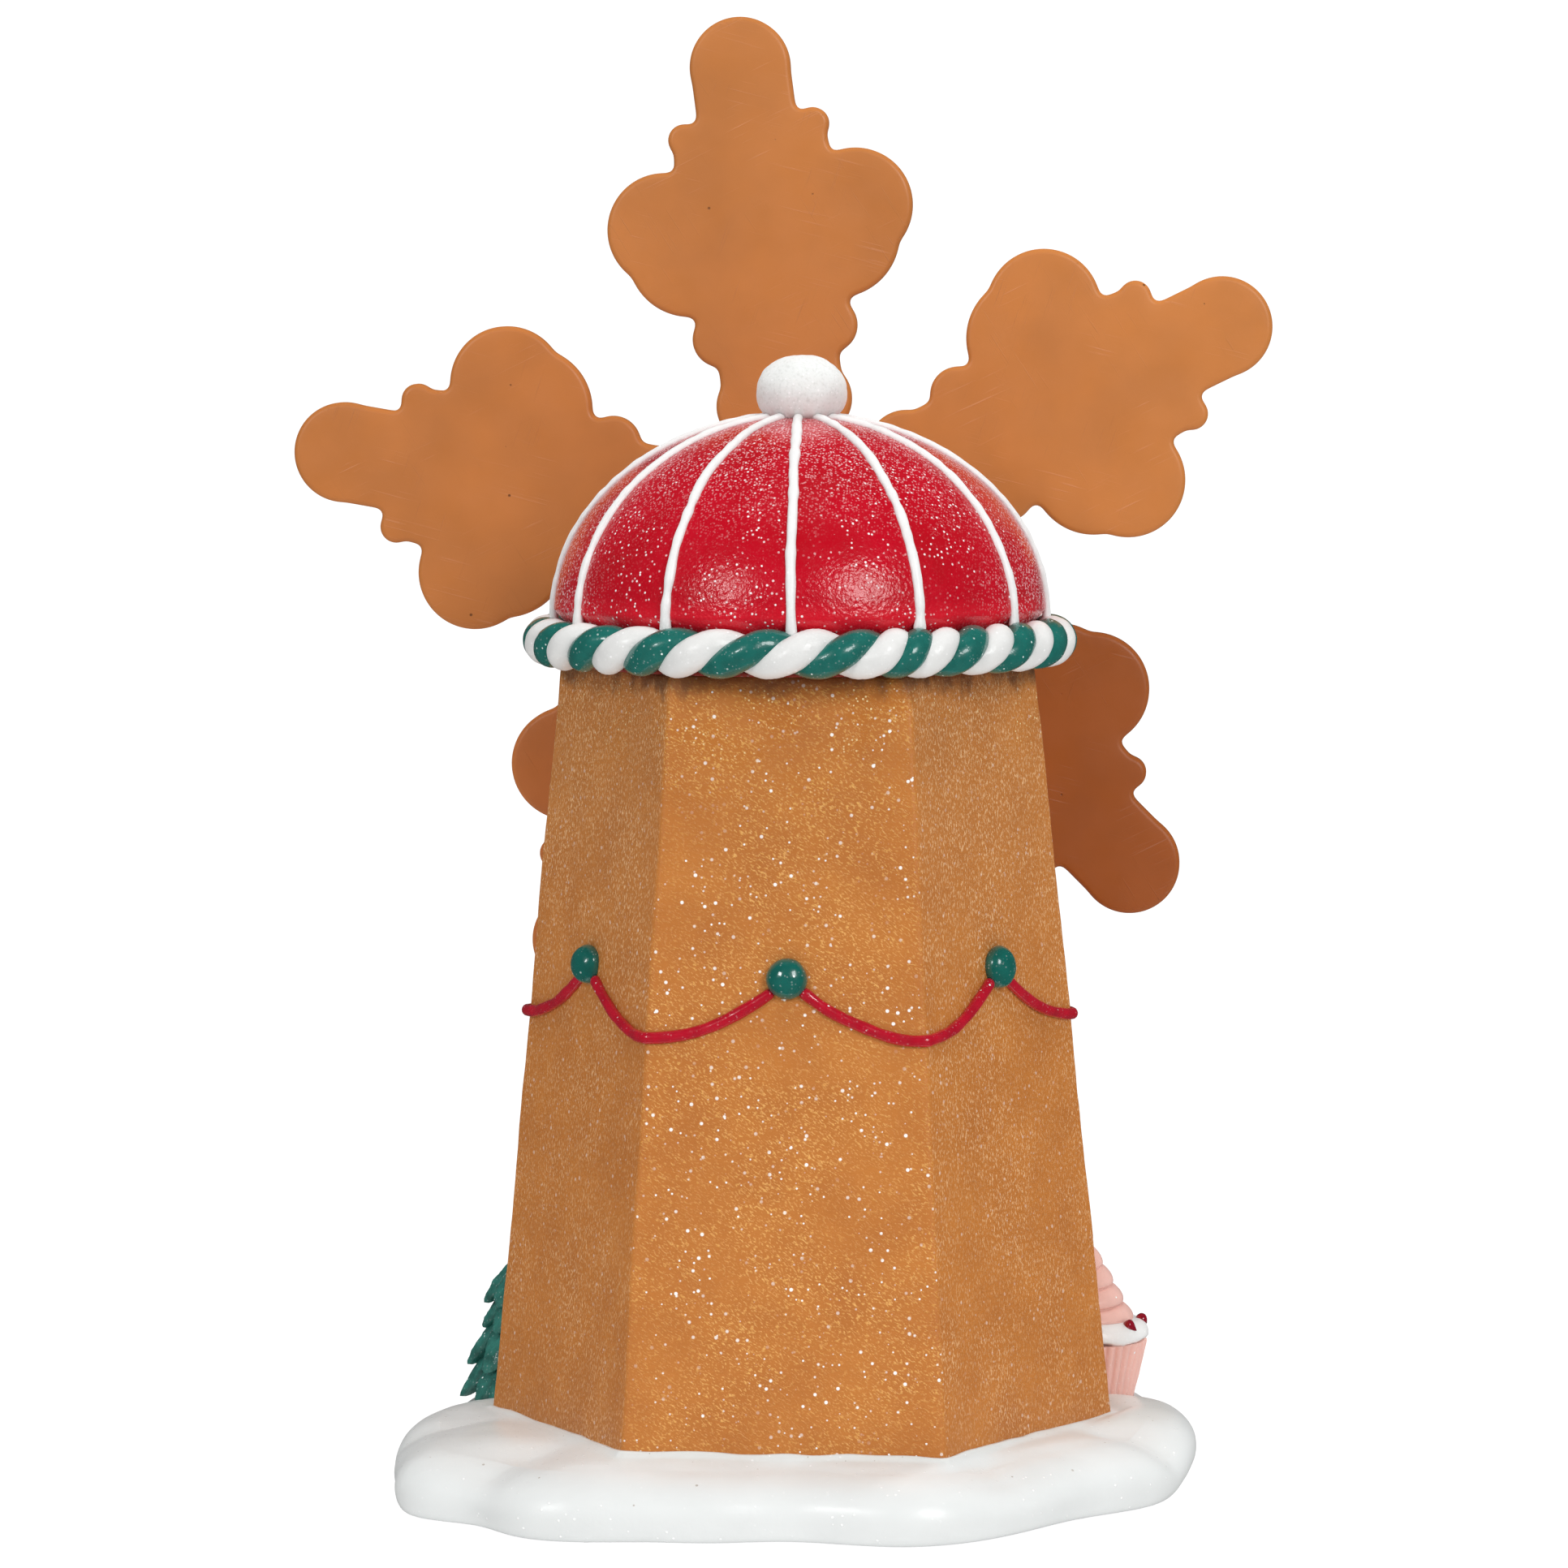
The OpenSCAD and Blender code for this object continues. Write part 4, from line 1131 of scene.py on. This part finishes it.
def add_candy(material):
    """A domed peppermint with shallow grooves that follow its six stripes."""
    low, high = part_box("hub_candy")
    radius, thick = (high.x - low.x) / 2, high.y - low.y
    back = 0.38
    turns = fan(144)
    rings = []
    for t in rises(-0.5, 0.97, 34):
        r = radius * math.cos(t) ** 0.55
        groove = 1 + 0.012 * np.cos(6 * (turns + 70 * r)) * (1 if t > 0 else 0.5)
        bulge = back + math.sin(t) * (1 - back if t > 0 else back / math.sin(math.pi / 4))
        rings.append(upright(turns) * (r * groove)[:, None] + [HUB.x, high.y - thick * bulge, HUB.z])
    add_piece("peppermint_cap", *loft(rings), material, "candy_white", ["hub_candy"], "rotor")


# =================== tree and cupcake ===================


# The tree's core from the ground up: radius and height, in mm
CORE = ((6.5, 13.4), (9.0, 14.0), (9.2, 18), (7.8, 25), (6.4, 31), (3.8, 36.5), (1.4, 41.5))
# Its tiers from the ground up: reach, height of the tips and width of a lobe, in mm
TIERS = ((15.0, 11.4, 8.6), (13.8, 17.8, 8.0), (10.4, 25.6, 7.2), (9.9, 31.0, 6.8), (5.4, 37.0, 4.8))


def add_tree(material, bark):
    """Drooping lobes in tiers round a pointed core; the trunk is a plain CAD piece."""
    middle = np.array([*middle_of("tree_trunk"), 0])
    core = [(r * MM, z * MM) for r, z in CORE] + [(0.3 * MM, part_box("tree_foliage")[1].z)]
    parts = [loft([middle + ring_at(circle(fan(40)) * r, z) for r, z in core])]
    for k, (reach, tip_z, width) in enumerate(TIERS):
        tip = middle + [0, 0, tip_z * MM]
        lobes = 10 - k
        for j in range(lobes):
            turn = TURN * j / lobes + 0.12 * math.sin(5.1 * k + 2.3 * j)
            span = reach * MM * (0.96 + 0.04 * math.cos(3.7 * j))
            parts.append(lobe(tip, turn, tower_room(tip, turn, span), width * MM))
    verts, faces = joined(parts)
    out = unit((verts - middle) * [1, 1, 0] + [0, 0, 1e-6])
    uneven = wobble(verts, 1.6 * MM, 0.3 * MM, 200) + wobble(verts, 0.7 * MM, 0.14 * MM, 201)
    verts = verts + out * uneven[:, None]
    add_piece("tree_needles", verts, faces, material, "tree_green", ["tree_foliage"])
    frame["nodes"]["tree_trunk"].material_slots[0].material = bark


def tower_room(tip, turn, span):
    """The span of a lobe, shortened so that it stops at the tower's nearest face."""
    x, y, z = tip
    face = (math.floor(math.atan2(y, x) / (TURN / SIDES)) + 0.5) * TURN / SIDES
    gap = x * math.cos(face) + y * math.sin(face) - face_out(z) - 0.8 * MM
    towards = -math.cos(turn - face)
    return min(span, gap / towards) if towards > 0.05 else span


def lobe(tip, turn, span, width):
    """One thick drooping lobe from near the trunk out to a low tip at the tip's height."""
    around = np.array([math.cos(turn), math.sin(turn), 0])
    across = np.array([-math.sin(turn), math.cos(turn), 0])
    slope = unit(around + [0, 0, 0.9])
    turns, start = fan(18), 2 * MM
    run = span - start
    rings = []
    for u in np.linspace(0, 1, 22):
        spine = tip + around * (start + run * u) + [0, 0, 1.2 * run * (1 - u) ** 1.15]
        half = width * 0.5 * max(0.04, math.sin(math.pi * min(1, 0.2 + 0.8 * u ** 1.3)) ** 0.6)
        ridge = 1 + 0.1 * np.cos(6 * turns + 8 * u)
        rim = circle(turns) * [half, 0.52 * half] * ridge[:, None]
        rings.append(spine + rim @ [across, slope])
    return loft(rings)


def outward(points, centre):
    """Directions away from an upright line through centre."""
    return unit((points - centre) * [1, 1, 0.001])


def add_cup(material, centre):
    """The paper cup: softly fluted and wider at the top."""
    low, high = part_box("cupcake_wrapper")
    top_r, foot_r = (high.x - low.x) / 2, 9.2 * MM
    tall = high.z - low.z + 0.7 * MM
    turns = fan(360)
    flute = np.abs(np.sin(18 * turns)) ** 0.8
    rings = []
    for f in np.concatenate([[0, 0.02], np.linspace(0.06, 0.97, 20), [0.99, 1.0]]):
        r = foot_r + (top_r - foot_r) * f - (0.5 * MM if f in (0, 1.0) else 0.1 * MM)
        wave = r + (flute - 0.7) * 0.62 * MM * (0.75 + 0.5 * f)
        rings.append(centre + ring_at(circle(turns) * wave[:, None], low.z + f * tall))
    verts, faces = loft(rings)
    verts += outward(verts, centre) * wobble(verts, 3 * MM, 0.12 * MM, 210)[:, None]
    add_piece("cupcake_cup", verts, faces, material, "wrapper_pink", ["cupcake_wrapper"])


def add_collar(material, centre):
    """A ring of cream that bulges over the cup, its hem a little wavy."""
    low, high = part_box("cupcake_cream")
    half = (high.x - low.x) / 2
    turns = fan(180)
    hem = 0.4 * MM * np.sin(7 * turns + 0.6) + 0.25 * MM * np.sin(11 * turns)
    rings = []
    for t in rises(-0.8, 0.9, 30):
        r = (half - 2.9 * MM) + 2.75 * MM * math.cos(t)
        z = low.z + 2.0 * MM + (1.5 if t < 0 else 2.9) * MM * math.sin(t)
        rings.append(centre + ring_at(circle(turns) * r, z + hem * max(0, -math.sin(t))))
    rings.append(centre + ring_at(circle(turns) * 6 * MM, high.z))
    verts, faces = loft(rings)
    verts += outward(verts, centre) * wobble(verts, 4 * MM, 0.22 * MM, 211)[:, None]
    add_piece("cupcake_collar", verts, faces, material, "cream_white", ["cupcake_cream"])


def add_frosting(material, centre):
    """A piped cone of four rolls that wind up it as one spiral, with a crease between them."""
    low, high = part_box("cupcake_swirl")
    tall, rolls = high.z - low.z, 4
    foot = (high.x - low.x) / 2 - 0.9 * MM
    turns = fan(180)
    rings = []
    for f in np.linspace(-0.03, 0.985, 150):
        g = max(f, 0)
        phase = g * rolls - turns / TURN - 0.2
        groove = np.exp(-((np.mod(phase + 0.5, 1) - 0.5) / 0.075) ** 2)
        roll = 0.6 + 0.9 * np.abs(np.sin(math.pi * phase)) - 0.6 * groove
        r = (foot - 0.8 * MM) * (1 - g) ** 0.95 + roll * MM * (1 - 0.5 * g)
        r = np.maximum(r, 0.12 * MM)[:, None]
        rings.append(centre + ring_at(circle(turns) * r, low.z + f * tall))
    add_piece("cupcake_frosting", *loft(rings), material, "swirl_pink", ["cupcake_swirl"])


def add_cherries(material, centre):
    """Little teardrops that lie on the cream, pointed ends outwards and down."""
    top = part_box("cupcake_cream")[1].z
    parts = []
    for a in range(96, 322, 45):
        turn = math.radians(a)
        away = np.array([math.cos(turn), math.sin(turn), 0])
        spot = centre + away * 11.2 * MM + [0, 0, top - 1.0 * MM]
        out = unit(away * 0.62 + [0, 0, 0.78])
        aside = np.array([-away[1], away[0], 0])
        down = unit(away * 0.6 + [0, 0, -0.55] + aside * 0.5)
        parts.append(teardrop(spot, unit(down - out * np.dot(down, out)), out))
    add_piece("cupcake_cherries", *joined(parts), material, "berry_red", ["cupcake_berries"])


def add_cupcake(wrapper, cream, swirl, berry):
    """The cup, its cream collar, the frosting and the berries, all about one upright line."""
    centre = np.array([*middle_of("cupcake_wrapper"), 0])
    add_cup(wrapper, centre)
    add_collar(cream, centre)
    add_frosting(swirl, centre)
    add_cherries(berry, centre)


def teardrop(spot, down, out):
    """A bead that is blunt at one end and narrows along down."""
    rings = []
    for f in np.linspace(0.01, 0.995, 16):
        r = 1.45 * MM * math.sin(math.pi * f ** 0.75) * (1 - 0.3 * f)
        rim = circle(fan(20)) * r @ [np.cross(down, out), out]
        rings.append(spot + down * (f - 0.45) * 3.2 * MM + rim)
    return loft(rings)


# =================== build ===================

# The blades' browns; the third, at the lower right in the photo, is the darkest
# The darker third and fourth browns are partly painted shade on the two lower blades and partly darker
# paint.
BROWNS = ((0.565, 0.195, 0.043), (0.60, 0.209, 0.046), (0.368, 0.094, 0.014), (0.505, 0.153, 0.032),
          (0.54, 0.18, 0.038))
brown = plain_biscuit("hub_biscuit", (0.58, 0.205, 0.054), 300)
blade_paints = [plain_biscuit(f"blade_paint_{i + 1}", tone, 310 + 30 * i) for i, tone in enumerate(BROWNS)]
icing = icing_paint("icing_paint", (0.88, 0.88, 0.87), 41)
cream = icing_paint("cream_paint", WHITE, 181, 0.3, 0.1)
rope_white = icing_paint("rope_white_paint", (0.80, 0.80, 0.785), 61, 0.3)
rope_green = glossy_paint("rope_green_paint", (0.010, 0.155, 0.128), 65, 0.2, 0.45, 0.75, 0.6)
drop_green = glossy_paint("drop_green_paint", (0.004, 0.13, 0.105), 101, 0.16, 0.6, 0.75, 0.6)
swag_red = glossy_paint("swag_red_paint", (0.50, 0.002, 0.02), 111)
needle = glossy_paint("needle_green", (0.035, 0.22, 0.18), 121, 0.34, 0.25, 0.45, 0.5, 0.3)
pink = icing_paint("wrapper_paint", (0.87, 0.52, 0.45), 141, 0.5, 0.03)
frosting = glossy_paint("frosting_paint", (0.84, 0.51, 0.445), 151, 0.32, 0.2, 0.93, 0.05)
cherry = glossy_paint("cherry_paint", (0.30, 0.002, 0.018), 161, 0.08, 0.9, 0.8, 0.0)
bark = wood_paint("bark", (0.16, 0.07, 0.03), (0.07, 0.03, 0.012), 171)
door_brown = wood_paint("door_paint", (0.20, 0.055, 0.018), (0.12, 0.03, 0.01), 175)
steel = metal_paint("turned_steel", (0.62, 0.63, 0.65), 131)
brass = metal_paint("turned_brass", (0.72, 0.5, 0.16), 133)

add_tower(glitter_biscuit())
add_snow(snow_paint())
add_dome(dome_paint())
add_ribs(icing)
add_bobble(bobble_paint())
add_rope([("white", rope_white, "rope_white"), ("green", rope_green, "rope_green")])
add_drops(drop_green)
add_swags(swag_red)
add_blades(blade_paints, icing)
add_candy(peppermint(HUB))
add_tree(needle, bark)
add_cupcake(pink, cream, frosting, cherry)
bevelled("hub_core", "rotor_hub", brown, "gingerbread_plain", "rotor", 0.6 * MM)
bevelled("door_leaf", "door_panel", door_brown, "door_brown")
softened("door_trim", "door_frame", icing, "icing_white", "windmill", 0.4 * MM, 8, 0.15 * MM, 20)
softened("window_trim", "window_frame", icing, "icing_white", "windmill", 0.35 * MM, 5, 0.12 * MM, 21)
bevelled("window_glass", "window_pane", amber_pane(), "window_amber")
bevelled("knob_bead", "door_knob", drop_green, "garland_green", width=0.3 * MM)
plain_nodes = {"axle": steel, "axle_washer": steel, "axle_clip": steel, "axle_bush": brass,
               "felt_pad": felt_fibre()}
for node, paint in plain_nodes.items():
    frame["nodes"][node].material_slots[0].material = paint
